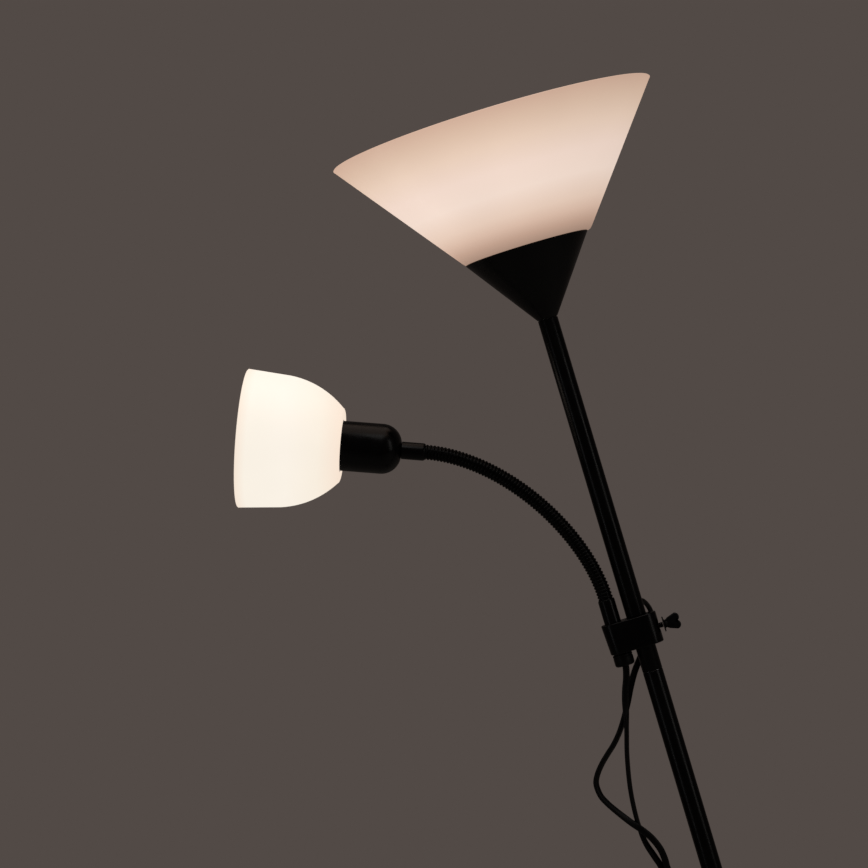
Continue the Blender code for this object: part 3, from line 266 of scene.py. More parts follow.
def lit_opal(name, body_color, line, strength, fall=0.0, mottle=0.02):
    """Opal plastic lit from inside. line is (axis, start, stop, colours) of its glow, and fall
    is how much of the glow is lost from the lamp's axis to the +X side."""
    look = new_look(name, body_color, 0.42, specular=0.35)
    tree = look.node_tree
    split = wired(tree, "ShaderNodeSeparateXYZ", {"Vector": own_place(look)})
    side = spread(look, split.outputs["X"], 1.0, 1.0 - fall, 0.0, 0.15)
    cloud = spread(look, noise(look, 9.0, 2.0), 1.0 - mottle, 1.0 + mottle)
    scale = wired(tree, "ShaderNodeMath", {0: cloud, 1: side}, operation="MULTIPLY").outputs["Value"]
    glow = wired(tree, "ShaderNodeVectorMath", {0: glow_ramp(look, *line), "Scale": scale}, operation="SCALE")
    feed(look, glow.outputs["Vector"], "Emission Color")
    shader_of(look).inputs["Emission Strength"].default_value = strength
    vary_roughness(look, noise(look, 150.0), 0.36, 0.50)
    add_bump(look, noise(look, 900.0, 2.0), 0.000020)
    return look


# Uplighter's glow by height above its cup, as seen from outside
UPLIGHT_GLOW = [
    (0.00, tone(166, 137, 120)), (0.07, tone(194, 161, 142)), (0.15, tone(219, 188, 169)),
    (0.23, tone(233, 206, 188)), (0.40, tone(246, 224, 210)), (0.56, tone(245, 221, 207)),
    (0.74, tone(236, 209, 189)), (0.88, tone(223, 193, 171)), (1.00, tone(211, 176, 155)),
]
UPLIGHT_INSIDE = [
    (0.00, tone(255, 247, 232)), (0.35, tone(255, 245, 228)), (0.70, tone(252, 233, 211)),
    (1.00, tone(240, 212, 188)),
]
READING_GLOW = [
    (0.00, tone(248, 231, 214)), (0.10, tone(251, 243, 230)), (0.50, tone(251, 243, 231)),
    (0.80, tone(249, 239, 224)), (1.00, tone(248, 229, 211)),
]


def uplight_look(name, body_color, colors, strength, fall):
    """The bowl's glow, by height."""
    line = ((0.0, 0.0, 1.0), low("uplight_shade").z, high("uplight_shade").z, colors)
    return lit_opal(name, body_color, line, strength, fall)


def reading_look(name, strength):
    """The bell's glow, by the distance from its mouth along its axis."""
    place = head_frame()
    axis = place.to_3x3() @ Vector((0, 0, 1))
    mouth = axis.dot(place.translation)
    return lit_opal(name, tone(150, 142, 134), (axis, mouth, mouth + SHADE_LENGTH, READING_GLOW), strength)


def frosted_bulb():
    """White glass of a lit bulb, in two slightly different warm whites."""
    look = new_look("frosted_bulb", tone(250, 244, 232), 0.30)
    warm = ((0.0, tone(255, 226, 190)), (1.0, tone(255, 240, 218)))
    feed(look, ramp_color(look, noise(look, 30.0, 2.0), warm), "Emission Color")
    shader_of(look).inputs["Emission Strength"].default_value = 2.6
    vary_roughness(look, noise(look, 500.0), 0.24, 0.36)
    return look


def studio_floor():
    """Pale matt floor that fades out well past the lamp."""
    pale = new_look("studio_floor", tone(196, 190, 184), 0.75, specular=0.25)
    vary_color(pale, noise(pale, 1.3, 4.0), tone(192, 186, 180), tone(201, 196, 190))
    add_bump(pale, noise(pale, 300.0, 3.0), 0.00004)
    tree = pale.node_tree
    reach = wired(tree, "ShaderNodeVectorMath", {0: own_place(pale)}, operation="LENGTH").outputs["Value"]
    fade = wired(tree, "ShaderNodeMixShader",
                 {"Fac": spread(pale, reach, 0.0, 1.0, 1.2, 4.2), 1: shader_of(pale).outputs["BSDF"],
                  2: wired(tree, "ShaderNodeBsdfTransparent").outputs["BSDF"]})
    tree.links.new(fade.outputs["Shader"], tree.nodes["Material Output"].inputs["Surface"])
    return pale


# ---------------------------------------------------------------- mesh tools

def smoothed(mesh, smooth_angle):
    mesh.shade_smooth()
    mesh.set_sharp_from_angle(angle=math.radians(smooth_angle))
    return mesh


def face_outwards(bm):
    bmesh.ops.recalc_face_normals(bm, faces=bm.faces)
    if bm.calc_volume(signed=True) < 0:
        bmesh.ops.reverse_faces(bm, faces=bm.faces)


def finished_mesh(bm, name, smooth_angle=35.0):
    """Close the bmesh into a mesh whose faces point outwards."""
    face_outwards(bm)
    mesh = bpy.data.meshes.new(name)
    bm.to_mesh(mesh)
    bm.free()
    return smoothed(mesh, smooth_angle)


def eased(outline, radius, steps=3):
    """Round the corners of a closed (radius, height) outline, except those on the axis."""
    points = []
    count = len(outline)
    for i, spot in enumerate(outline):
        here = Vector(spot)
        before = Vector(outline[i - 1])
        after = Vector(outline[(i + 1) % count])
        turn = (here - before).angle(after - here, 0.0)
        if here.x < 1e-6 or turn < math.radians(12):
            points.append(tuple(here))
            continue
        start = here + min(radius, 0.42 * (here - before).length) * (before - here).normalized()
        end = here + min(radius, 0.42 * (after - here).length) * (after - here).normalized()
        for step in range(steps + 1):
            t = step / steps
            points.append(tuple(start * (1 - t) ** 2 + here * 2 * t * (1 - t) + end * t ** 2))
    return points


def arc(center, radius, start, end, steps):
    """Points on an arc; angles in degrees from the +radius direction."""
    angles = [math.radians(start + (end - start) * i / steps) for i in range(steps + 1)]
    return [(center[0] + radius * math.cos(a), center[1] + radius * math.sin(a)) for a in angles]


def raised(base, *points):
    """(radius, height) points whose heights are told from base."""
    return [(radius, base + height) for radius, height in points]


def wavy(radius, depth, waves, rows, start, stop):
    """A (radius, height) run with a rolled thread."""
    return [(radius + depth * math.sin(2 * math.pi * waves * i / rows), start + (stop - start) * i / rows)
            for i in range(rows + 1)]


def turned_mesh(name, outline, segments=96, place=None, inner_from=None):
    """Turn a closed (radius, height) outline about Z; rows from inner_from on are material 1."""
    bm = bmesh.new()
    rings = []
    for radius, height in outline:
        if radius < 1e-6:
            rings.append([bm.verts.new((0, 0, height))] * segments)
        else:
            circle = arc((0, 0), radius, 0, 360, segments)[:-1]
            rings.append([bm.verts.new((x, y, height)) for x, y in circle])
    for row, (ring, following) in enumerate(zip(rings, rings[1:] + rings[:1])):
        for i in range(segments):
            j = (i + 1) % segments
            corners = list(dict.fromkeys((ring[i], ring[j], following[j], following[i])))
            if len(corners) < 3:
                continue
            face = bm.faces.new(corners)
            if inner_from is not None and row >= inner_from:
                face.material_index = 1
    if place:
        bmesh.ops.transform(bm, matrix=place, verts=bm.verts)
    return finished_mesh(bm, name)


def bevelled(bm, edges, width, segments):
    bmesh.ops.bevel(bm, geom=edges, offset=width, segments=segments, profile=0.5, affect="EDGES")


def prism_bmesh(outline, bottom, top, bevel=0.0, segments=3):
    """Extrude a closed XY outline and round its two rims."""
    bm = bmesh.new()
    face = bm.faces.new([bm.verts.new((x, y, bottom)) for x, y in outline])
    grown = bmesh.ops.extrude_face_region(bm, geom=[face])
    lifted = [item for item in grown["geom"] if isinstance(item, bmesh.types.BMVert)]
    bmesh.ops.translate(bm, verts=lifted, vec=(0, 0, top - bottom))
    if bevel:
        rims = [edge for edge in bm.edges if abs(edge.verts[0].co.z - edge.verts[1].co.z) < 1e-7]
        bevelled(bm, rims, bevel, segments)
    return bm


def prism_mesh(name, outline, bottom, top, place, bevel=0.0, smooth_angle=35.0):
    bm = prism_bmesh(outline, bottom, top, bevel)
    bmesh.ops.transform(bm, matrix=place, verts=bm.verts)
    return finished_mesh(bm, name, smooth_angle)


def rounded_rectangle(width, height, corner, steps=8):
    points = []
    for sx, sy, start in ((1, 1, 0), (-1, 1, 90), (-1, -1, 180), (1, -1, 270)):
        center = (sx * (width / 2 - corner), sy * (height / 2 - corner))
        points += arc(center, corner, start, start + 90, steps)
    return points


def belt_outline(circles, steps):
    """Outline of a belt pulled tight round (x, y, radius) circles."""
    spots = set()
    for x, y, radius in circles:
        spots.update((round(a, 7), round(b, 7)) for a, b in arc((x, y), radius, 0, 360, steps)[:-1])
    spots = sorted(spots)

    def side(row):
        chain = []
        for p in row:
            while len(chain) > 1:
                (ax, ay), (bx, by) = chain[-2], chain[-1]
                if (bx - ax) * (p[1] - ay) - (by - ay) * (p[0] - ax) > 1e-12:
                    break
                chain.pop()
            chain.append(p)
        return chain[:-1]

    return side(spots) + side(spots[::-1])


def loose_object(name, mesh):
    made = bpy.data.objects.new(name, mesh)
    bpy.context.scene.collection.objects.link(made)
    return made


def evaluated_mesh(made, name):
    """The object's mesh with its modifiers worked in; the object itself is removed."""
    bpy.context.view_layer.update()
    graph = bpy.context.evaluated_depsgraph_get()
    mesh = bpy.data.meshes.new_from_object(made.evaluated_get(graph), depsgraph=graph)
    mesh.name = name
    bpy.data.objects.remove(made, do_unlink=True)
    return mesh


def carved(mesh, cutters, smooth_angle=35.0):
    """The mesh less each cutter mesh."""
    target = loose_object(mesh.name, mesh)
    guides = []
    for number, cutter in enumerate(cutters):
        guide = loose_object(f"{mesh.name}_cut_{number}", cutter)
        modifier = target.modifiers.new(guide.name, "BOOLEAN")
        modifier.operation = "DIFFERENCE"
        modifier.solver = "EXACT"
        modifier.object = guide
        guides.append(guide)
    result = evaluated_mesh(target, mesh.name)
    for guide in guides:
        bpy.data.objects.remove(guide, do_unlink=True)
    return smoothed(result, smooth_angle)


def rod(radius, bottom, top, place=None, segments=48):
    return turned_mesh("rod", [(0, bottom), (radius, bottom), (radius, top), (0, top)], segments, place)


def merged(name, meshes, smooth_angle=35.0):
    """Several closed bodies as one mesh."""
    bm = bmesh.new()
    for mesh in meshes:
        bm.from_mesh(mesh)
    mesh = bpy.data.meshes.new(name)
    bm.to_mesh(mesh)
    bm.free()
    return smoothed(mesh, smooth_angle)


def add_piece(name, mesh, finishes, body, *nodes):
    """A finished piece that rides on body and stands for the nodes; it gets one material for each of its
    finishes."""
    piece = loose_object(name, mesh)
    finishes = finishes.split()
    mesh.materials.clear()
    for label in finishes:
        mesh.materials.append(LOOKS[label])
    if body:
        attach(piece, body)
    if nodes:
        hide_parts(*nodes)
    return piece


def turned_piece(name, outline, segments, finishes, body, *nodes, place=None, ease=0.0):
    """A piece turned from an outline whose corners are eased."""
    outline = eased(outline, ease) if ease else outline
    return add_piece(name, turned_mesh(name, outline, segments, place), finishes, body, *nodes)


# ---------------------------------------------------------------- node-made windings and ribs

def new_tree(name, **values):
    """A geometry tree and its inputs by name, told as (kind, value)."""
    tree = bpy.data.node_groups.new(name, "GeometryNodeTree")
    for label, (kind, value) in values.items():
        socket = tree.interface.new_socket(label, in_out="INPUT", socket_type="NodeSocket" + kind)
        if value is not None:
            socket.default_value = value
    tree.interface.new_socket("Geometry", in_out="OUTPUT", socket_type="NodeSocketGeometry")
    return tree, tree.nodes.new("NodeGroupInput").outputs


def math_node(tree, operation, *values):
    return wired(tree, "ShaderNodeMath", dict(enumerate(values)), operation=operation).outputs[0]


def product(tree, *values):
    """The values multiplied together, from the first on."""
    total = values[0]
    for value in values[1:]:
        total = math_node(tree, "MULTIPLY", total, value)
    return total


def vector_node(tree, operation, *values):
    return wired(tree, "ShaderNodeVectorMath", dict(enumerate(values)), operation=operation).outputs[0]


def scaled(tree, vector, amount):
    return wired(tree, "ShaderNodeVectorMath", {0: vector, "Scale": amount}, operation="SCALE").outputs[0]


def swept(tree, curve, radius, sides):
    """Sweep a round section along the curve, with closed ends."""
    section = wired(tree, "GeometryNodeCurvePrimitiveCircle", {"Radius": radius, "Resolution": sides})
    sockets = {"Fill Caps": True, "Curve": curve, "Profile Curve": section.outputs["Curve"]}
    return wired(tree, "GeometryNodeCurveToMesh", sockets).outputs["Mesh"]


def finish_tree(tree, geometry, look_socket):
    """Realize Instances and Set Material close the tree."""
    for kind in ("GeometryNodeSetShadeSmooth", "GeometryNodeRealizeInstances"):
        geometry = wired(tree, kind, {"Geometry": geometry}).outputs["Geometry"]
    paint = wired(tree, "GeometryNodeSetMaterial", {"Geometry": geometry, "Material": look_socket})
    wired(tree, "NodeGroupOutput", {"Geometry": paint.outputs["Geometry"]})
    return tree


def winding_tree():
    """Wire wound round a core along the curve that the modifier sits on."""
    tree, source = new_tree(
        "winding", path=("Geometry", None), turns=("Float", 10.0), winding_radius=("Float", 0.006),
        wire_radius=("Float", 0.001), core_radius=("Float", 0.006), start=("Float", 0.0), end=("Float", 1.0),
        steps_per_turn=("Float", 20.0), wire_sides=("Int", 8), core_sides=("Int", 32),
        material=("Material", None))
    span = math_node(tree, "SUBTRACT", source["end"], source["start"])
    last = math_node(tree, "CEIL", product(tree, span, source["turns"], source["steps_per_turn"]))
    line = wired(tree, "GeometryNodeMeshLine", {"Count": math_node(tree, "ADD", last, 1.0)})
    index = wired(tree, "GeometryNodeInputIndex").outputs["Index"]
    share = math_node(tree, "DIVIDE", index, last)
    station = math_node(tree, "ADD", source["start"], product(tree, share, span))
    sockets = {"Curves": source["path"], "Factor": station}
    sample = wired(tree, "GeometryNodeSampleCurve", sockets, mode="FACTOR").outputs
    across = (0.0, 1.0, 0.0)
    lift = vector_node(tree, "NORMALIZE", vector_node(tree, "CROSS_PRODUCT", sample["Tangent"], across))
    angle = product(tree, station, source["turns"], 2 * math.pi)
    rise = product(tree, math_node(tree, "COSINE", angle), source["winding_radius"])
    shift = product(tree, math_node(tree, "SINE", angle), source["winding_radius"])
    offset = vector_node(tree, "ADD", scaled(tree, lift, rise), scaled(tree, across, shift))
    spot = vector_node(tree, "ADD", sample["Position"], offset)
    place = wired(tree, "GeometryNodeSetPosition", {"Geometry": line.outputs["Mesh"], "Position": spot})
    wire = wired(tree, "GeometryNodeMeshToCurve", {"Mesh": place.outputs["Geometry"]}).outputs["Curve"]
    sockets = {"Curve": source["path"], 2: source["start"], 3: source["end"]}
    trim = wired(tree, "GeometryNodeTrimCurve", sockets)
    both = wired(tree, "GeometryNodeJoinGeometry",
                 {"Geometry": swept(tree, wire, source["wire_radius"], source["wire_sides"])})
    core = swept(tree, trim.outputs["Curve"], source["core_radius"], source["core_sides"])
    tree.links.new(core, both.inputs["Geometry"])
    return finish_tree(tree, both.outputs["Geometry"], source["material"])


def rib_tree():
    """Upright ribs in a ring round Z, for grips and knurls."""
    tree, source = new_tree(
        "ribs", base=("Geometry", None), count=("Int", 36), ring_radius=("Float", 0.02),
        rib_radius=("Float", 0.0006), rib_length=("Float", 0.004), material=("Material", None))
    sockets = {"Vertices": source["count"], "Radius": source["ring_radius"]}
    ring = wired(tree, "GeometryNodeMeshCircle", sockets)
    rib = wired(tree, "GeometryNodeMeshCylinder",
                {"Vertices": 8, "Radius": source["rib_radius"], "Depth": source["rib_length"]})
    ribs = wired(tree, "GeometryNodeInstanceOnPoints",
                 {"Points": ring.outputs["Mesh"], "Instance": rib.outputs["Mesh"]})
    return finish_tree(tree, ribs.outputs["Instances"], source["material"])


def grown_mesh(name, made, tree, **values):
    """Run a geometry tree on the object and take its mesh."""
    modifier = made.modifiers.new(tree.name, "NODES")
    modifier.node_group = tree
    for item in tree.interface.items_tree:
        if item.name in values:
            modifier[item.identifier] = values[item.name]
    mesh = evaluated_mesh(made, name)
    bm = bmesh.new()
    bm.from_mesh(mesh)
    face_outwards(bm)
    bm.to_mesh(mesh)
    bm.free()
    return mesh


def wound_mesh(name, points, **values):
    """Wire wound along a run of points."""
    curve = bpy.data.curves.new(name + "_line", "CURVE")
    curve.dimensions = "3D"
    spline = curve.splines.new("POLY")
    spline.points.add(len(points) - 1)
    for point, spot in zip(spline.points, points):
        point.co = (*spot, 1.0)
    return grown_mesh(name, loose_object(name + "_line", curve), WINDING, **values)


# ---------------------------------------------------------------- routes

def hose_point(share):
    start = Vector((ARM_X, 0, FERRULE_TOP))
    end = start + Vector((-HOSE_REACH, 0, HOSE_RISE))
    first = start + Vector((0, 0, HOSE_RISE_HANDLE))
    second = end - HOSE_HEAD_HANDLE * Vector((-math.cos(HEAD_TILT), 0, math.sin(HEAD_TILT)))
    rest = 1 - share
    return (rest ** 3 * start + 3 * rest ** 2 * share * first
            + 3 * rest * share ** 2 * second + share ** 3 * end)


def evenly(points, count):
    """The run through the points, read again at count + 1 even distances."""
    marks = [0.0]
    for before, after in zip(points, points[1:]):
        marks.append(marks[-1] + (after - before).length)
    chosen = []
    row = 0
    for i in range(count + 1):
        want = marks[-1] * i / count
        while row < len(points) - 2 and marks[row + 1] < want:
            row += 1
        share = (want - marks[row]) / (marks[row + 1] - marks[row])
        chosen.append(points[row].lerp(points[row + 1], min(1.0, share)))
    return chosen


def head_frame():
    """Origin at the middle of the shade's mouth, local Z from the mouth to the hose."""
    along = Vector((math.cos(HEAD_TILT), 0, -math.sin(HEAD_TILT)))
    side = Vector((0, 1, 0))
    up = side.cross(along)
    mouth = hose_point(1.0) - (SHADE_FLOOR + CUP_LENGTH + HEAD_FERRULE_LENGTH) * along
    return Matrix.Translation(mouth) @ Matrix((up, side, along)).transposed().to_4x4()


def flowing(points, steps=12):
    """Catmull-Rom through the points."""
    spots = [Vector(p) for p in points]
    spots = [2 * spots[0] - spots[1]] + spots + [2 * spots[-1] - spots[-2]]
    fine = []
    for a, b, c, d in zip(spots, spots[1:], spots[2:], spots[3:]):
        for i in range(steps):
            t = i / steps
            fine.append(0.5 * (2 * b + (c - a) * t + (2 * a - 5 * b + 4 * c - d) * t * t
                               + (3 * b - a - 3 * c + d) * t ** 3))
    fine.append(spots[-2])
    return fine


def length_of(points):
    return sum((after - before).length for before, after in zip(points, points[1:]))


def eased_between(stops, share):
    """Value at share of a row of (share, value) stops, with a smooth step between them."""
    for (start, first), (end, second) in zip(stops, stops[1:]):
        if share <= end:
            t = max(0.0, (share - start) / (end - start))
            return first + (second - first) * t * t * (3 - 2 * t)
    return stops[-1][1]


def flat_section(width, thickness, sides):
    """Outline of a flat twin cord: two rounds side by side, with a shallow waist."""
    shift = (width - thickness) / 2
    waist = 0.10 * thickness
    spots = []
    for k in range(sides):
        angle = 2 * math.pi * (k + 0.5) / sides
        across = math.copysign(shift, math.cos(angle)) + thickness / 2 * math.cos(angle)
        dip = waist * max(0.0, 1 - abs(across) / max(shift, 1e-6)) ** 2 if shift else 0.0
        height = thickness / 2 * math.sin(angle)
        spots.append((across, height - math.copysign(dip, height)))
    return spots


def cord_mesh(name, path, width, thickness, sides=24, turns=((0.0, 0.0), (1.0, 0.0))):
    """A tube along the path. turns gives how far the wide side is turned from the lamp's
    front, in degrees, at shares of the length."""
    bm = bmesh.new()
    back = Vector((0, 1, 0))
    section = flat_section(width, thickness, sides)
    rings = []
    last = len(path) - 1
    for i, spot in enumerate(path):
        along = (path[min(last, i + 1)] - path[max(0, i - 1)]).normalized()
        side = (back - along * back.dot(along)).normalized()
        lift = along.cross(side)
        turn = math.radians(eased_between(turns, i / last))
        wide = math.cos(turn) * lift + math.sin(turn) * side
        thin = math.cos(turn) * side - math.sin(turn) * lift
        rings.append([bm.verts.new(spot + across * wide + height * thin) for across, height in section])
    for ring, following in zip(rings, rings[1:]):
        for k in range(sides):
            m = (k + 1) % sides
            bm.faces.new((ring[k], ring[m], following[m], following[k]))
    bm.faces.new(rings[0])
    bm.faces.new(rings[-1])
    return finished_mesh(bm, name, 50.0)


# Route points, (x, y, z). The first two cords are told from the clamp's middle; the
# mains cord's heights are shares of the height of the boot's lower end.
UPLIGHT_ROUTE = [
    (0.0104, 0.0153, 0.0283), (0.0127, 0.0192, 0.0250), (0.0145, 0.0220, 0.0206),
    (0.0156, 0.0236, 0.0154), (0.0155, 0.0241, 0.0084), (0.0131, 0.0243, 0.0003),
    (0.0090, 0.0238, -0.0080), (0.0035, 0.0225, -0.0155), (-0.0028, 0.0207, -0.0225),
    (-0.0091, 0.0188, -0.0288), (-0.0189, 0.0165, -0.0412), (-0.0274, 0.0145, -0.0552),
    (-0.0354, 0.0108, -0.0705), (-0.0443, 0.0082, -0.0851), (-0.0518, 0.0070, -0.0958),
    (-0.0604, 0.0070, -0.1055), (-0.0701, 0.0070, -0.1141), (-0.0786, 0.0070, -0.1222),
    (-0.0857, 0.0070, -0.1310), (-0.0897, 0.0068, -0.1400), (-0.0889, 0.0062, -0.1521),
    (-0.0847, 0.0050, -0.1614), (-0.0784, 0.0030, -0.1710), (-0.0714, 0.0004, -0.1805),
    (-0.0651, -0.0020, -0.1885), (-0.0581, -0.0034, -0.1967), (-0.0506, -0.0030, -0.2078),
    (-0.0453, -0.0020, -0.2210), (-0.0437, -0.0010, -0.2330), (-0.0438, -0.0004, -0.2430),
]
READING_ROUTE = [
    (-0.0262, 0.0000, -0.0350), (-0.0288, 0.0000, -0.0439), (-0.0326, 0.0000, -0.0535),
    (-0.0359, 0.0000, -0.0640), (-0.0392, 0.0000, -0.0781), (-0.0434, 0.0000, -0.0942),
    (-0.0506, 0.0002, -0.1201), (-0.0567, 0.0010, -0.1506), (-0.0594, 0.0022, -0.1768),
    (-0.0596, 0.0030, -0.1985), (-0.0577, 0.0034, -0.2134), (-0.0530, 0.0034, -0.2290),
    (-0.0496, 0.0032, -0.2410),
]
MAINS_ROUTE = [
    (-0.0456, 0.0022, 0.9490), (-0.0462, 0.0040, 0.8650), (-0.0475, 0.0080, 0.7450),
    (-0.0492, 0.0140, 0.6120), (-0.0514, 0.0220, 0.4800), (-0.0540, 0.0320, 0.3600),
    (-0.0570, 0.0450, 0.2520), (-0.0600, 0.0620, 0.1620), (-0.0640, 0.0840, 0.0937),
    (-0.0690, 0.1080, 0.0516), (-0.0750, 0.1300, 0.0276), (-0.0810, 0.1520, 0.0120),
    (-0.0858, 0.1740, 0.0048), (-0.0880, 0.1950, 0.0038),
]
COIL_TURNS = 4
TURN_POINTS = 48
TURN_SPACING = MAINS_CORD + 0.0003
COIL_RADIUS = 0.0345
LYING = MAINS_CORD / 2 + 0.0001      # height of the mains cord's middle on the floor


def coil_points():
    """Four turns in a bundle two wide and two high; each turn slips into its place early on."""
    half = TURN_SPACING / 2
    upper = LYING + TURN_SPACING
    rows = [(half, LYING), (-half, LYING), (-half, upper), (half, upper)]
    slip = 0.22
    points = []
    for i in range(COIL_TURNS * TURN_POINTS + 1):
        turn = min(COIL_TURNS - 1, i // TURN_POINTS)
        share = i / TURN_POINTS - turn
        here = rows[turn]
        before = rows[max(0, turn - 1)]
        across, height = [eased_between(((0.0, first), (slip, second)), share)
                          for first, second in zip(before, here)]
        angle = math.pi - 2 * math.pi * i / TURN_POINTS
        radius = COIL_RADIUS + across
        points.append(Vector((COIL_MIDDLE.x + radius * math.cos(angle),
                              COIL_MIDDLE.y + radius * math.sin(angle), height)))
    return points


# ---------------------------------------------------------------- cords

def make_upper_cord(name, node_name, mouth, route, shift, count, turns):
    """A flat cord from its mouth down to the switch's top, shift from the switch's middle."""
    base = Vector((0, 0, CLAMP_Z))
    entry = [Vector((SWITCH_MIDDLE.x + shift, SWITCH_MIDDLE.y, SWITCH_TOP + height))
             for height in (CORD_ENTRY, GAP)]
    path = evenly(flowing([mouth] + [base + Vector(p) for p in route] + entry), count)
    mesh = cord_mesh(name, path, FLAT_CORD, FLAT_CORD_THICKNESS, turns=turns)
    cord = add_piece(name, mesh, "cord", None, node_name)
    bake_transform(cord)


def make_upper_cords():
    away = Vector((math.cos(EXIT_ANGLE), math.sin(EXIT_ANGLE), 0))
    mouth = Vector((0, 0, CLAMP_Z + EXIT_RISE)) + (GROMMET_FACE + GAP) * away
    turns = ((0.0, 80.0), (0.09, 62.0), (0.16, 14.0), (0.28, 10.0), (0.40, 52.0), (0.66, 48.0), (0.80, 4.0),
             (1.0, 0.0))
    make_upper_cord("cord_to_uplight", "uplight_cord", mouth, UPLIGHT_ROUTE,
                    CORD_SPREAD, 220, turns)
    mouth = Vector((ARM_X, 0, low("arm_gland").z - GAP))
    turns = ((0.0, 0.0), (0.14, 4.0), (0.27, 72.0), (0.68, 74.0), (0.84, 24.0), (1.0, 8.0))
    make_upper_cord("cord_to_reading_arm", "reading_cord", mouth, READING_ROUTE,
                    -CORD_SPREAD, 160, turns)


def make_mains_cord(plug_pieces):
    boot_end = low("switch_boot").z
    mouth = Vector((SWITCH_MIDDLE.x, SWITCH_MIDDLE.y, boot_end - GAP))
    plug_y = low("plug_body").y
    plug = middle("plug_body")
    hanging = [mouth] + [Vector((x, y, max(LYING, share * boot_end))) for x, y, share in MAINS_ROUTE]
    turns = coil_points()
    run = plug_y - COIL_MIDDLE.y
    tail = [Vector((turns[-1].x - 0.0022, COIL_MIDDLE.y + run * 0.30, turns[-1].z - 0.0004)),
            Vector((plug.x + 0.0012, COIL_MIDDLE.y + run * 0.66, plug.z + 0.0006)),
            Vector((plug.x, plug_y - 0.0040, plug.z)), Vector((plug.x, plug_y - GAP, plug.z))]
    path = evenly(flowing(hanging + turns + tail, 6), 1150)
    cord = add_piece("mains_lead", cord_mesh("mains_lead", path, MAINS_CORD, MAINS_CORD, 16), "cord", None,
                     "mains_cord", "mains_coil")
    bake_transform(cord)


# ---------------------------------------------------------------- base and pole

def make_base():
    edge = high("base_cover").x
    rim_low = low("base_cover").z
    top = high("base_cover").z
    lip = 0.0055
    bend = (edge - lip, rim_low + 0.0085)
    crown_low = bend[1] + lip
    wall = 0.0012
    hole = 0.0056
    steps = 16
    crown = []
    for i in range(1, steps):
        share = 1 - i / steps
        if bend[0] * share > hole + 0.004:
            crown.append((bend[0] * share, crown_low + (top - crown_low) * (1 - share ** 2)))
    outside = [(edge - 0.0004, rim_low), (edge, rim_low + 0.0006)] + arc(bend, lip, 0, 90, 10) + crown
    inside = raised(-wall, *reversed(crown)) + arc(bend, lip - wall, 90, 0, 6) + [(edge - wall, rim_low)]
    turned_piece("base_dish", outside + [(hole, top), (hole, top - wall)] + inside, 160, "coat", "stand",
                 "base_cover")

    bottom = low("base_collar").z
    top = high("base_collar").z
    reach = high("base_collar").x
    outline = raised(bottom, (hole, 0), (reach - 0.0003, 0), (reach, 0.0004), (reach, 0.0018))
    outline += [(radius, max(bottom + 0.0022, height))
                for radius, height in arc((reach, top), reach - POLE_RADIUS - 0.0012, 258, 184, 8)]
    outline += [(POLE_RADIUS + 0.0010, top), (hole, top)]
    turned_piece("base_collar_turned", outline, 96, "coat", "stand", "base_collar")


def make_pole():
    """Tubes whose upper ends are drawn in a little to seat the next tube's edge."""
    bore = POLE_RADIUS - POLE_WALL
    number = 1
    while f"pole_tube_{number}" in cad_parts:
        name = f"pole_tube_{number}"
        bottom = low(name).z
        top = high(name).z
        outline = raised(bottom, (POLE_RADIUS - 0.0005, 0), (POLE_RADIUS - 0.00015, 0.00015),
                         (POLE_RADIUS, 0.0005))
        outline += raised(top, (POLE_RADIUS, -0.0006), (POLE_RADIUS - 0.0002, -0.0002),
                          (POLE_RADIUS - 0.0006, 0), (bore, 0)) + [(bore, bottom)]
        mesh = turned_mesh(f"{name}_drawn", outline, 96)
        if bottom < CLAMP_Z + EXIT_RISE < top:
            mesh = carved(mesh, [rod(0.0040, 0.004, 0.016, exit_place())])
        add_piece(f"{name}_drawn", mesh, "coat", "stand", name)
        number += 1


def exit_place():
    """Local Z points out of the pole at the cord's exit."""
    return moved(0, 0, CLAMP_Z + EXIT_RISE) @ Matrix.Rotation(EXIT_ANGLE, 4, "Z") @ turned_by(90, "Y")


def make_grommet():
    """A soft bush: a domed flange outside and a neck through the tube's wall."""
    seat = POLE_RADIUS + 0.0001
    bore = 0.0029
    outline = [(bore, POLE_RADIUS - 0.0020), (0.0037, POLE_RADIUS - 0.0020), (0.0037, seat), (0.0045, seat),
               (0.0045, seat + 0.0009), (0.0041, GROMMET_FACE - 0.0004), (0.0036, GROMMET_FACE),
               (bore, GROMMET_FACE)]
    turned_piece("exit_bush", outline, 56, "plastic", "stand", "pole_grommet", place=exit_place(),
                 ease=0.0005)


# ---------------------------------------------------------------- uplighter

def make_uplight_cup():
    bottom = low("uplight_cup").z
    rim = high("uplight_cup").z
    foot = POLE_RADIUS + 0.0007
    edge = high("uplight_cup").x
    wall = 0.0011
    bore = 0.0053
    outline = raised(bottom, (bore, 0), (foot - 0.0010, 0), (foot, 0.0010))
    outline += raised(rim, (edge - 0.0006, -0.0014), (edge, -0.0005), (edge - 0.0003, 0), (edge - wall, 0),
                      (edge - wall - 0.0006, -0.0014))
    outline += raised(bottom, (foot - 0.0002, wall), (bore, wall))
    turned_piece("uplight_cone", outline, 144, "coat", "stand", "uplight_cup")


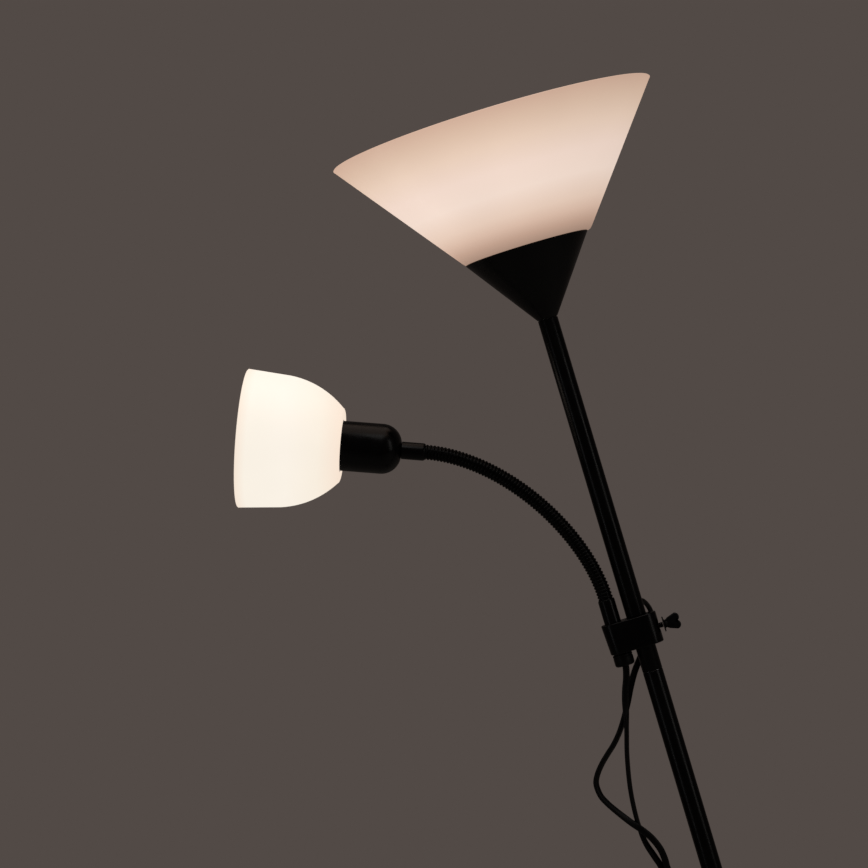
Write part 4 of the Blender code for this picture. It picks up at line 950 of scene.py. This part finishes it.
def make_uplight_shade():
    bottom = low("uplight_shade").z
    height = size("uplight_shade").z
    edge = size("uplight_shade").x / 2
    foot = high("uplight_cup").x + 0.0022
    wall = 0.0018
    hole = 0.0204
    slope = (edge - foot) / height
    across = wall * math.hypot(1, slope)
    steps = 12

    def side(share, inset=0.0):
        return foot + (edge - foot) * share - inset, height * share

    outside = [(hole, 0), (foot - 0.0010, 0), (foot - 0.0002, 0.0004)]
    outside += [side(0.02 + (0.985 - 0.02) * i / steps) for i in range(steps + 1)]
    lip = [(edge - 0.0003, height - 0.0006), (edge - 0.0009, height), (edge - across + 0.0006, height)]
    inside = [(edge - across - 0.0002, height - 0.0006)]
    inside += [side(0.97 - 0.97 * i / steps, across) for i in range(steps)]
    inside += [(foot - across + slope * wall - 0.0006, wall), (hole, wall)]
    mesh = turned_mesh("uplight_bowl", raised(bottom, *outside, *lip, *inside), 176,
                       moved(middle("uplight_shade").x, 0, 0), inner_from=len(outside) + 1)
    add_piece("uplight_bowl", mesh, "uplight_outside uplight_inside", "stand", "uplight_shade")


def make_grip_ring(name, node_name, body, place, radius, bore, bottom, height):
    """A screwed ring: a turned band with a lip, and ribs for the fingers."""
    outline = raised(bottom, (bore, 0), (radius - 0.0006, 0), (radius - 0.0006, height * 0.7),
                     (radius - 0.0018, height), (bore, height))
    band = turned_mesh(name + "_band", eased(outline, 0.0004), 72, place)
    ribs = grown_mesh(name + "_ribs", loose_object(name, bpy.data.meshes.new(name)), RIBS, count=40,
                      ring_radius=radius - 0.0007, rib_radius=0.0006, rib_length=height * 0.62)
    ribs.transform(place @ moved(0, 0, bottom + height * 0.33))
    add_piece(name, merged(name, [band, ribs]), "holder", body, node_name)


def make_lampholder(name, node_name, body, place, outline, thread, socket):
    """Turned holder with a moulded thread at its mouth and a metal screw shell inside."""
    outer = turned_mesh(name + "_body", eased(outline, 0.0006), 80, place)
    start, stop, radius, pitch = thread
    ridge = wound_mesh(name + "_thread", [Vector((0, 0, start)), Vector((0, 0, stop))],
                       turns=(stop - start) / pitch, winding_radius=radius, wire_radius=0.00055,
                       core_radius=0.0002, steps_per_turn=40.0, wire_sides=6, core_sides=3,
                       material=LOOKS["holder"])
    ridge.transform(place)
    add_piece(name, merged(name, [outer, ridge]), "holder", body, node_name)
    shell_radius, shell_low, shell_high = socket
    wave = wavy(shell_radius - 0.0004, 0.0003, 4.5, 24, shell_low, shell_high)
    back = [(radius - 0.0002, height) for radius, height in reversed(wave)]
    turned_piece(name + "_shell", wave + back, 64, "socket", body, place=place)


def make_bulb(name, nodes, body, place, seat, cap_radius, cap_length, glass_radius, glass_length):
    """Screw cap with a rolled thread and a soldered tip, under a round frosted glass."""
    tip = cap_radius * 0.42
    shoulder = seat - cap_length * 0.26
    outline = raised(seat - cap_length, (0, 0), (tip * 0.6, 0.0002), (tip, 0.0012),
                     (cap_radius * 0.86, cap_length * 0.20))
    outline += wavy(cap_radius - 0.0007, 0.0005, 5, 40, seat - cap_length * 0.78, shoulder)
    outline += [(cap_radius - 0.0002, shoulder + 0.0006), (cap_radius, seat - 0.0008),
                (cap_radius - 0.0006, seat), (0, seat)]
    turned_piece(name + "_cap", outline, 64, "cap", body, nodes + "_cap", place=place)

    bottom = seat + GAP
    center = seat + glass_length - glass_radius
    neck = cap_radius - 0.0004
    steps = 14
    ball = arc((0, center), glass_radius, -52, 90, 22)
    join_radius, join_height = ball[0]
    outline = [(0, bottom), (neck - 0.0006, bottom), (neck, bottom + 0.0008)]
    for i in range(1, steps):
        share = i / steps
        outline.append((eased_between(((0.0, neck), (1.0, join_radius)), share),
                        bottom + (join_height - bottom) * share))
    outline += ball[:-1] + [(0, center + glass_radius)]
    turned_piece(name + "_glass", outline, 72, "bulb", body, nodes + "_glass", place=place)


def make_uplighter():
    neck = moved(0, 0, NECK)
    make_uplight_cup()
    make_uplight_shade()
    body = 0.0200
    thread = body - 0.0015
    top = high("uplight_lampholder").z - NECK
    start = low("uplight_lampholder").z - NECK
    shelf = high("uplight_cup").z - NECK - GAP
    socket = 0.0133
    seat = top - 0.0060
    floor = seat - 0.0250 - 0.0020
    outline = raised(start, (0.0053, 0), (0.0080, 0), (0.0080, 0.0110), (0.0150, 0.0150), (body, 0.0230))
    outline += raised(shelf, (body, -0.0020), (body + 0.0030, -0.0020), (body + 0.0030, 0), (thread, 0))
    outline += [(thread, top), (socket, top), (socket, floor), (0.0034, floor)]
    outline += raised(start, (0.0034, 0.0085), (0.0053, 0.0085))
    make_lampholder("uplight_holder", "uplight_lampholder", "stand", neck, outline,
                    (shelf + 0.0012, top - 0.0010, thread, 0.0021), (socket, floor + 0.002, top - 0.001))
    ring = "uplight_shade_ring"
    make_grip_ring("uplight_grip_ring", ring, "stand", neck, high(ring).x, thread + 0.0003,
                   low(ring).z - NECK, size(ring).z)
    make_bulb("uplight_lamp", "uplight_bulb", "stand", neck, seat, 0.0130, 0.0250, 0.0300, 0.0800)


# ---------------------------------------------------------------- clamp

def make_clamp():
    edge = high("arm_clamp")
    arm_end = ARM_X - low("arm_clamp").x
    nose_radius = 0.0140
    draft = 0.0016
    circles = [(ARM_X, 0, arm_end), (0, 0, edge.y), (edge.x - nose_radius, 0, nose_radius)]
    bm = prism_bmesh(belt_outline(circles, 96), CLAMP_LOW, CLAMP_HIGH, 0.0011, 4)
    for vertex in bm.verts:
        past_arm = min(0.0, vertex.co.x - ARM_X)
        depth = (CLAMP_HIGH - vertex.co.z) / (CLAMP_HIGH - CLAMP_LOW)
        vertex.co.x -= past_arm * draft / arm_end * depth
    liner = high("clamp_liner").x
    across = moved(0, 0, CLAMP_Z) @ turned_by(90, "Y")
    insert = high("clamp_thread_insert").y
    under = CLAMP_LOW - 0.004
    over = CLAMP_HIGH + 0.004
    block = carved(finished_mesh(bm, "clamp_block", 50.0), [
        rod(liner + GAP, under, over, None, 96),
        rod(FERRULE_RADIUS + GAP, under, over, moved(ARM_X, 0, 0), 80),
        rod(insert + GAP, liner - 0.001, edge.x + 0.005, across)])
    add_piece("clamp_block", block, "coat", "clamp", "arm_clamp")
    for name, node_name, bore, radius, ends, segments, place, ease, label in (
            ("clamp_sleeve", "clamp_liner", POLE_RADIUS + GAP, liner,
             (low("clamp_liner").z, high("clamp_liner").z), 96, None, 0.0003, "plastic"),
            ("clamp_insert", "clamp_thread_insert", 0.0032, insert,
             (low("clamp_thread_insert").x, high("clamp_thread_insert").x), 48, across, 0.0004, "bronze")):
        start, end = ends
        outline = [(bore, start), (radius, start), (radius, end), (bore, end)]
        turned_piece(name, outline, segments, label, "clamp", node_name, place=place, ease=ease)
    make_wing_screw(across)


def lobed_outline(length, width):
    """Half heart: two lobes at the outer end with a notch between, waisted to the flange."""
    lobe = width * 0.27
    right = [(0.0004, -lobe * 0.80), (0.0022, -lobe * 0.92), (0.0044, -width * 0.335)]
    right += arc((length - lobe, lobe - width / 2), lobe, -86, 56, 14)
    right.append((length - lobe * 0.62, -lobe * 0.16))
    return right + [(length - lobe * 0.78, 0.0)] + [(x, -y) for x, y in reversed(right)]


def make_wing_screw(across):
    face = low("wing_screw_head").x
    tip = low("wing_screw_shank").x
    length = size("wing_screw_head").x
    thickness = 0.0048
    radius = high("wing_screw_head").y
    root = 0.0013
    sunk = 0.0002
    wing = prism_mesh("wing", lobed_outline(length - root + sunk, size("wing_screw_head").z), -thickness / 2,
                      thickness / 2, moved(face + root - sunk, 0, CLAMP_Z) @ turned_by(90, "X"), 0.0013, 60.0)
    flange = raised(face, (0, 0), (radius - 0.0003, 0), (radius, 0.0005), (radius - 0.0004, root),
                    (0.0052, root + 0.0001), (0.0036, root + 0.0014), (0.0030, root + 0.0034),
                    (0, root + 0.0034))
    disc = turned_mesh("wing_flange", eased(flange, 0.0004), 64, across)
    add_piece("wing_knob", merged("wing_knob", [wing, disc], 40.0), "plastic", "wing_screw",
              "wing_screw_head")

    ends = [Vector((tip + 0.0012, 0, CLAMP_Z)), Vector((face - 0.0008, 0, CLAMP_Z))]
    pitch = 0.0010
    core = 0.00245
    thread = wound_mesh("wing_thread", ends, turns=length_of(ends) / pitch, winding_radius=core,
                        wire_radius=0.00045, core_radius=core, steps_per_turn=28.0, wire_sides=6,
                        core_sides=28, material=LOOKS["blackened"])
    stub = raised(tip, (0, 0), (0.0019, 0), (0.0024, 0.0006), (0.0024, 0.0014), (0, 0.0014))
    collar = raised(face, (0, -0.0014), (0.0024, -0.0014), (0.0026, -GAP), (0, -GAP))
    turned = [turned_mesh("wing_stub", outline, 32, across) for outline in (stub, collar)]
    add_piece("wing_thread", merged("wing_thread", [thread] + turned), "blackened", "wing_screw",
              "wing_screw_shank")


# ---------------------------------------------------------------- arm and hose

def make_arm():
    arm = moved(ARM_X, 0, 0)
    bottom = low("arm_ferrule").z
    bore = 0.0058
    outline = [(bore, bottom), (FERRULE_RADIUS, bottom)]
    outline += raised(FERRULE_TOP, (FERRULE_RADIUS, -0.0016), (FERRULE_RADIUS - 0.0004, -0.0004),
                      (FERRULE_RADIUS - 0.0011, 0), (bore, 0))
    turned_piece("arm_sleeve", outline, 88, "coat", "arm", "arm_ferrule", place=arm, ease=0.0004)

    top = bottom - GAP
    end = low("arm_gland").z
    edge = high("arm_gland").y
    outline = raised(end, (0, 0), (edge - 0.0020, 0), (edge - 0.0006, 0.0008), (edge, 0.0024))
    outline += raised(top, (edge, -0.0034), (edge - 0.0004, -0.0030), (edge - 0.0004, -0.0024),
                      (edge, -0.0020), (edge, -0.0005), (edge - 0.0005, 0), (0, 0))
    cap = carved(turned_mesh("arm_cable_cap", outline, 88, arm),
                 [rod(FLAT_CORD / 2 + GAP, end - 0.002, top + 0.002, arm)])
    spigot = raised(top, (0.0040, -0.0006), (bore - GAP, -0.0006), (bore - GAP, 0.0098), (0.0052, 0.0100),
                    (0.0040, 0.0100))
    add_piece("arm_cable_cap", merged("arm_cable_cap", [cap, turned_mesh("cap_spigot", spigot, 56, arm)]),
              "plastic", "arm", "arm_gland")


def make_hose():
    """Wound wire over a liner, in pieces that meet at the middle of each link."""
    line = evenly([hose_point(i / 600) for i in range(601)], 420)
    marks = [0.0] + [(number + 0.5) / HOSE_LINKS for number in range(HOSE_LINKS)] + [1.0]
    wire = 0.00150
    core = HOSE_RADIUS - 0.00105
    for number, (start, end) in enumerate(zip(marks, marks[1:])):
        name = f"hose_{number + 1}"
        mesh = wound_mesh(name, line, turns=float(HOSE_TURNS), winding_radius=HOSE_RADIUS - wire,
                          wire_radius=wire, core_radius=core, start=start, end=end, steps_per_turn=26.0,
                          wire_sides=10, core_sides=36, material=LOOKS["hose"])
        last = number == HOSE_LINKS
        stood_for = [] if last else [f"neck_link_{number + 1}"]
        body = "reading_head" if last else None if number else "arm"
        piece = add_piece(name, mesh, "hose", body, *stood_for)
        if body is None:
            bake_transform(piece)


# ---------------------------------------------------------------- reading head

def bell_side(count):
    """Outside of the bell from skirt to shoulder: one arc, nearly in line with the skirt."""
    start = Vector((0.0685, 0.0440))
    lead = 7.0
    chord = Vector((0.0400, 0.1005)) - start
    sweep = 2 * (math.degrees(math.atan2(-chord.x, chord.y)) - lead)
    radius = chord.length / (2 * math.sin(math.radians(sweep / 2)))
    center = start - radius * Vector((math.cos(math.radians(lead)), math.sin(math.radians(lead))))
    return arc(center, radius, lead, lead + sweep, count)


def inward(points, wall):
    """Offset an open (radius, station) run to its inner side."""
    shifted = []
    for i, (radius, station) in enumerate(points):
        before = points[max(0, i - 1)]
        after = points[min(len(points) - 1, i + 1)]
        run = Vector((after[0] - before[0], after[1] - before[1])).normalized()
        shifted.append((radius - wall * run.y, station + wall * run.x))
    return shifted


def make_reading_shade(place):
    wall = 0.0018
    mouth = 0.0722
    skirt = [(mouth + (0.0685 - mouth) * i / 6, 0.0440 * i / 6) for i in range(6)]
    side = [(mouth, 0.0005)] + skirt[1:] + bell_side(18)
    ledge = 0.0364
    recess = 0.0282
    hole = 0.0138
    shoulder = raised(SHADE_LENGTH, (0.0393, -0.0019), (0.0385, -0.0010), (ledge + 0.0008, -0.0004),
                      (ledge - 0.0006, 0), (recess + 0.0014, 0), (recess + 0.0004, -0.0004),
                      (recess, -0.0014))
    outside = [(mouth - 0.0005, 0.0)] + side + shoulder + [(recess, SHADE_FLOOR), (hole, SHADE_FLOOR)]
    inside = [(hole, SHADE_FLOOR - wall), (recess + wall, SHADE_FLOOR - wall)]
    inside += raised(SHADE_LENGTH - wall, (recess + wall, 0), (ledge - wall * 0.4, 0),
                     (ledge + 0.0008, -0.0010))
    inside += inward(side, wall)[::-1] + [(mouth - wall + 0.0004, 0.0)]
    mesh = turned_mesh("reading_bell", outside + inside, 144, place, inner_from=len(outside))
    add_piece("reading_bell", mesh, "reading_outside reading_inside", "reading_head", "reading_shade")


def make_reading_cup(place):
    radius = 0.0260
    wall = 0.0011
    start = SHADE_FLOOR + GAP
    dome_top = SHADE_FLOOR + CUP_LENGTH
    rounding = 0.0204
    center = (radius - rounding, dome_top - rounding)
    hole = 0.0054
    flange = radius + 0.0016
    outline = raised(start, (flange - 0.0003, 0), (flange, 0.0004), (flange, 0.0010),
                     (flange - 0.0004, 0.0014), (radius + 0.0003, 0.0016), (radius, 0.0022))
    outline += arc(center, rounding, 0, 90, 18)[:-1] + [(hole, dome_top), (hole, dome_top - wall)]
    outline += arc(center, rounding - wall, 90, 0, 18)[1:] + [(radius - wall, start)]
    turned_piece("reading_canister", outline, 120, "coat", "reading_head", "reading_cup", place=place)


def make_head_ferrule(place):
    top = SHADE_FLOOR + CUP_LENGTH
    radius = 0.0091
    spigot = 0.0050
    bore = 0.0034
    outline = raised(top, (bore, -0.0120), (spigot, -0.0120), (spigot, GAP), (radius, GAP))
    outline += raised(top + HEAD_FERRULE_LENGTH, (radius, -0.0018), (radius - 0.0005, -0.0005),
                      (radius - 0.0011, 0), (spigot, 0))
    outline += raised(top, (spigot, 0.0030), (bore, 0.0030))
    turned_piece("head_sleeve", outline, 88, "coat", "reading_head", "head_ferrule", place=place, ease=0.0005)


def make_reading_head():
    place = head_frame()
    make_reading_shade(place)
    make_reading_cup(place)
    make_head_ferrule(place)
    body = 0.0145
    thread = body - 0.0010
    socket = 0.0071
    front = SHADE_FLOOR - 0.0120
    shelf = SHADE_FLOOR + GAP
    back = SHADE_FLOOR + 0.0380
    seat = SHADE_FLOOR - 0.0080
    cap_end = seat + 0.0230 + 0.0010
    outline = [(thread, front), (thread, shelf), (body + 0.0045, shelf), (body + 0.0045, shelf + 0.0018),
               (body, shelf + 0.0018), (body, back - 0.0060), (body - 0.0050, back), (0.0034, back),
               (0.0034, cap_end), (socket, cap_end), (socket, front)]
    make_lampholder("reading_holder", "reading_lampholder", "reading_head", place, outline,
                    (front + 0.0008, seat, thread, 0.0019), (socket, front + 0.001, cap_end - 0.002))
    ring_top = SHADE_FLOOR - 0.0018 - GAP
    ring_height = 0.0050
    flip = moved(0, 0, 2 * ring_top - ring_height) @ turned_by(180, "X")
    make_grip_ring("reading_grip_ring", "reading_shade_ring", "reading_head", place @ flip, body + 0.0050,
                   thread + 0.0003, ring_top - ring_height, ring_height)
    make_bulb("reading_lamp", "reading_bulb", "reading_head", place @ moved(0, 0, seat) @ turned_by(180, "X"),
              0.0, 0.0068, 0.0230, 0.0225, 0.0560)


# ---------------------------------------------------------------- switch and plug

def make_switch():
    place = Matrix.Translation(SWITCH_MIDDLE) @ turned_by(90, "X")
    depth = SWITCH_DEPTH / 2
    wall = 0.0018
    corner = 0.0080
    rocker_spots = [(0.0075, 0.0040), (-0.0075, 0.0040)]
    screw_spot = place @ moved(0, -SWITCH_HEIGHT * 0.36, 0)
    for name, node_name, side in (("switch_lid", "switch_front_shell", 1),
                                  ("switch_tray", "switch_back_shell", -1)):
        face = side * (depth - GAP / 2)
        bm = prism_bmesh(rounded_rectangle(SWITCH_WIDTH, SWITCH_HEIGHT, corner, 10), *sorted((0, face)))
        rims = [[edge for edge in bm.edges if all(abs(v.co.z - rim) < 1e-7 for v in edge.verts)]
                for rim in (face, 0)]
        bevelled(bm, rims[0], 0.0026, 5)
        bevelled(bm, [edge for edge in rims[1] if edge.is_valid], 0.0003, 1)
        bmesh.ops.transform(bm, matrix=place @ moved(0, 0, side * GAP / 2), verts=bm.verts)
        shell = finished_mesh(bm, name, 40.0)
        inner = rounded_rectangle(SWITCH_WIDTH - 2 * wall, SWITCH_HEIGHT - 2 * wall, corner - wall)
        ends = sorted((-side * 0.001, side * (depth - wall)))
        cuts = [prism_mesh(name + "_hollow", inner, *ends, place)]
        if side == 1:
            cuts += [prism_mesh("window", rounded_rectangle(0.0132, 0.0244, 0.0014, 5), -0.006, 0.006,
                                place @ moved(x, y, depth)) for x, y in rocker_spots]
        else:
            cuts.append(rod(0.0033, -depth - 0.002, -depth + 0.004, screw_spot))
        add_piece(name, carved(shell, cuts, 40.0), "plastic", "hanging_switch", node_name)
    for label, (x, y) in zip(("uplight", "reading"), rocker_spots):
        make_rocker(label, place @ moved(x, y, depth))
    make_switch_screw(screw_spot, depth)
    make_switch_boot(place)


def make_rocker(label, spot):
    """A paddle with two hollow faces that meet at its hinge."""
    half = 0.0110
    tilt = 8.0
    rise = half * math.tan(math.radians(tilt))
    dip = 0.00035
    reach = half - 0.0006
    steps = 8
    side = [(-half, -0.0040), (half, -0.0040), (half, 0.0004 + rise), (reach, 0.0008 + rise * 0.96)]
    for i in range(1, 2 * steps):
        share = 1 - i / steps
        sag = dip * math.sin(math.pi * abs(share))
        side.append((reach * share, 0.0008 + rise * abs(share) - sag))
    side += [(-reach, 0.0008 + rise * 0.96), (-half, 0.0004 + rise)]
    width = 0.0060
    turn = turned_by(-tilt, "X") @ turned_by(90, "Z") @ turned_by(90, "X")
    mesh = prism_mesh(f"{label}_rocker", side, -width, width, spot @ turn, 0.0005, 30.0)
    add_piece(f"{label}_rocker", mesh, "rocker", f"rocker_{label}", f"switch_rocker_{label}")


def make_switch_screw(spot, depth):
    """Cross-head screw from the back of the case."""
    face = -depth + 0.0002
    end = depth - 0.0030
    outline = raised(face, (0, 0), (0.0022, 0), (0.0029, 0.0004), (0.0030, 0.0010), (0.0014, 0.0026))
    screw = turned_mesh("case_screw", outline + [(0.0014, end), (0, end)], 40, spot)
    slots = [prism_mesh("slot", [(-a, -b), (a, -b), (a, b), (-a, b)], face - 0.001, face + 0.0008, spot)
             for a, b in ((0.0017, 0.00035), (0.00035, 0.0017))]
    add_piece("case_screw", carved(screw, slots), "zinc", "hanging_switch", "switch_screw")


def make_switch_boot(place):
    """Tapered strain relief with bending grooves."""
    length = size("switch_boot").z
    top = 0.0058
    tip = 0.0042
    grooves = 6
    start = 0.0044
    stop = length - 0.0022
    outline = [(0.0, 0.0), (top, 0.0), (top, 0.0040)]
    for i in range(grooves):
        a = start + (stop - start) * i / grooves
        b = start + (stop - start) * (i + 1) / grooves
        here = top + (tip - top) * a / length
        after = top + (tip - top) * b / length
        outline += raised(a, (here, 0.0001), (here - 0.0007, 0.0005), (here - 0.0007, 0.0010),
                          (after + 0.0001, 0.0014))
    outline += [(tip, stop + 0.0004), (tip, length - 0.0006), (tip - 0.0005, length), (0.0, length)]
    down = place @ moved(0, -SWITCH_HEIGHT / 2 - GAP, 0) @ turned_by(90, "X")
    turned_piece("cord_boot", outline, 56, "plastic", "hanging_switch", "switch_boot", place=down)


def make_plug():
    """Moulded two-pin plug, waisted for the fingers, with a grooved cord sleeve."""
    base = low("plug_body").y
    place = moved(middle("plug_body").x, base, middle("plug_body").z)
    half = size("plug_body").x / 2
    height = size("plug_body").z / 2
    length = size("plug_body").y
    sleeve = 0.0240
    right = raised(sleeve, (half - 0.0050, 0.0022), (half - 0.0012, 0.0058), (half, 0.0105),
                   (half - 0.0006, 0.0160), (half - 0.0022, 0.0210), (half - 0.0026, 0.0250),
                   (half - 0.0018, 0.0300))
    right = flowing([(a, b, 0.0) for a, b in [(0.0062, sleeve)] + right + [(half - 0.0020, length)]], 4)
    outline = [(p.x, p.y) for p in right] + [(-p.x, p.y) for p in reversed(right)]
    shell = prism_mesh("plug_shell", outline, -height, height, place, 0.0022, 50.0)
    pitch = 0.0190
    radius = 0.0020
    tip = high("plug_pin_1").y - base
    along = turned_by(-90, "X")
    pin = raised(length, (0, -0.0080), (radius, -0.0080), (radius, 0.0098), (radius - 0.00015, 0.0100))
    pin += raised(tip, (radius - 0.00015, -0.0016), (radius * 0.82, -0.0006), (radius * 0.45, 0), (0, 0))
    holes = []
    pins = []
    for number, side in enumerate((-1, 1), 1):
        spot = place @ moved(side * pitch / 2, 0, 0) @ along
        holes.append(rod(radius + GAP, length - 0.0083, length + 0.002, spot, 32))
        pins.append(turned_piece(f"plug_contact_{number}", pin, 36, "cap", "stand", f"plug_pin_{number}",
                                 place=spot))
    neck = 0.0042
    shoulder = 0.0061
    grooves = 6
    start = 0.0016
    stop = sleeve - 0.0010
    outline = [(0.0, 0.0), (neck - 0.0004, 0.0), (neck, 0.0005)]
    for i in range(grooves):
        a = start + (stop - start) * i / grooves
        here = neck + (shoulder - neck) * a / sleeve
        outline += raised(a, (here, 0), (here - 0.0007, 0.0005), (here - 0.0007, 0.0011),
                          (here + 0.0001, 0.0016))
    outline += [(shoulder, stop), (shoulder, sleeve + 0.0016), (0.0, sleeve + 0.0016)]
    gripped = [carved(shell, holes, 50.0), turned_mesh("plug_sleeve", outline, 48, place @ along)]
    body = add_piece("plug_shell", merged("plug_shell", gripped, 50.0), "plastic", "stand", "plug_body")
    return [body] + pins


# ---------------------------------------------------------------- hidden pieces

NODE_LOOKS = {
    "base_pad": "felt", "base_ballast": "iron", "base_bolt": "zinc", "base_washer": "zinc",
    "pole_foot_plug": "zinc", "pole_top_plug": "zinc", "pole_joiner": "zinc", "uplight_nipple": "zinc",
    "uplight_locknut": "brass", "head_locknut": "brass",
}


def paint_nodes():
    """Finishes of the frame's pieces that show as they are."""
    for name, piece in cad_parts.items():
        if piece.hide_render:
            continue
        stem = name.rstrip("0123456789").rstrip("_")
        piece.data.materials.clear()
        piece.data.materials.append(LOOKS[NODE_LOOKS[stem]])


# ---------------------------------------------------------------- studio

def place_camera():
    """Level camera at the height of the reading arm, rolled as the view is."""
    yaw = -0.05029
    roll = -0.29028
    sight = Vector((math.sin(yaw), math.cos(yaw), 0))
    level = Vector((math.cos(yaw), -math.sin(yaw), 0))
    upright = level.cross(sight)
    right = math.cos(roll) * level + math.sin(roll) * upright
    top = -math.sin(roll) * level + math.cos(roll) * upright
    data = bpy.data.cameras.new("camera")
    data.lens = 116.13
    data.sensor_width = 36.0
    data.clip_end = 60.0
    camera = loose_object("camera", data)
    turn = Matrix((right, top, -sight)).transposed().to_4x4()
    camera.matrix_world = moved(-0.001, -2.8944, NECK - 0.0804) @ turn
    bpy.context.scene.camera = camera


def make_studio():
    """A floor, a plain backdrop that lights the lamp less than it shows, and three softboxes."""
    floor = loose_object("studio_floor", rod(4.3, -0.002, 0, None, 96))
    floor.data.materials.append(studio_floor())
    world = bpy.data.worlds.new("studio")
    world.use_nodes = True
    tree = world.node_tree
    shown, dim = [wired(tree, "ShaderNodeBackground", {"Color": tone(82, 74, 70), "Strength": strength})
                  for strength in (1.0, 0.50)]
    ray = wired(tree, "ShaderNodeLightPath").outputs["Is Camera Ray"]
    either = wired(tree, "ShaderNodeMixShader", {"Fac": ray, 1: dim.outputs["Background"],
                                                 2: shown.outputs["Background"]})
    tree.links.new(either.outputs["Shader"], tree.nodes["World Output"].inputs["Surface"])
    bpy.context.scene.world = world
    add_softbox("key", (2.02, -1.31, 1.50), (0.42, 1.9), 3.7, (1.0, 0.97, 0.93))
    add_softbox("fill", (-1.84, -1.54, 1.50), (0.30, 1.9), 1.8, (0.95, 0.97, 1.0))
    add_softbox("top", (0.3, -0.4, 3.6), (2.4, 2.4), 22.0, (1.0, 0.98, 0.96))
    bpy.context.scene.view_settings.view_transform = "Standard"


def add_softbox(name, spot, sides, power, color):
    data = bpy.data.lights.new(name, "AREA")
    data.shape = "RECTANGLE"
    data.size, data.size_y = sides
    data.energy = power
    data.color = color
    lamp = loose_object(name, data)
    lamp.visible_camera = False
    aim = Vector((0, 0, min(spot[2], 1.2))) - Vector(spot)
    lamp.matrix_world = moved(*spot) @ aim.to_track_quat("-Z", "Y").to_matrix().to_4x4()


# ---------------------------------------------------------------- assembly

place_camera()
make_studio()
WINDING = winding_tree()
RIBS = rib_tree()
LOOKS = {
    "coat": finish("powder_coat", tone(3, 3, 3), 0.26, ((35.0,), tone(2, 2, 3), tone(5, 5, 5)),
                   ((60.0, 4.0), 0.20, 0.32), [((620.0, 2.0), 0.000035), ((2600.0, 1.0), 0.000012)],
                   specular=BLACK_GLOSS),
    "hose": finish("hose_lacquer", tone(3, 3, 3), 0.24, ((210.0,), tone(2, 2, 2), tone(6, 5, 5)),
                   ((400.0,), 0.18, 0.34), [((1800.0, 2.0), 0.000015)], specular=0.10),
    "plastic": moulded_plastic("moulded_plastic", tone(17, 17, 17), 0.44),
    "rocker": moulded_plastic("rocker_plastic", tone(19, 19, 20), 0.30),
    "cord": finish("cord_vinyl", tone(5, 5, 5), 0.42, ((28.0, 5.0), tone(4, 4, 5), tone(11, 9, 8)),
                   ((90.0, 4.0), 0.34, 0.50), [((950.0, 2.0, (1.0, 1.0, 0.12)), 0.000030)], specular=0.20),
    "zinc": bare_metal("zinc_plate", tone(192, 194, 196), 0.34, 240.0),
    "blackened": bare_metal("blackened_steel", tone(34, 33, 33), 0.38, 240.0),
    "brass": bare_metal("turned_brass", tone(204, 172, 104), 0.32, 200.0),
    "bronze": bare_metal("dark_bronze", tone(74, 62, 44), 0.42, 200.0),
    "cap": bare_metal("nickel_plate", tone(208, 205, 198), 0.26, 320.0),
    "socket": bare_metal("socket_shell", tone(196, 186, 160), 0.34, 700.0),
    "iron": finish("cast_iron", tone(64, 62, 60), 0.75, ((70.0, 6.0), tone(44, 42, 40), tone(84, 76, 68)),
                   ((130.0, 5.0), 0.62, 0.88), [((420.0, 6.0), 0.00022)], metallic=0.5),
    "felt": felt(),
    "holder": finish("holder_plastic", tone(232, 229, 220), 0.38,
                     ((60.0,), tone(222, 217, 205), tone(238, 236, 229)), ((220.0,), 0.30, 0.46),
                     [((1500.0, 2.0), 0.000020)]),
    "uplight_outside": uplight_look("uplight_opal", tone(150, 134, 122), UPLIGHT_GLOW, 0.92, 0.13),
    "uplight_inside": uplight_look("uplight_opal_inside", tone(170, 158, 146), UPLIGHT_INSIDE, 1.0, 0.0),
    "reading_outside": reading_look("reading_opal", 0.95),
    "reading_inside": reading_look("reading_opal_inside", 1.05),
    "bulb": frosted_bulb(),
}
make_upper_cords()
make_mains_cord(make_plug())
make_base()
make_pole()
make_grommet()
make_uplighter()
make_clamp()
make_arm()
make_hose()
make_reading_head()
make_switch()
paint_nodes()
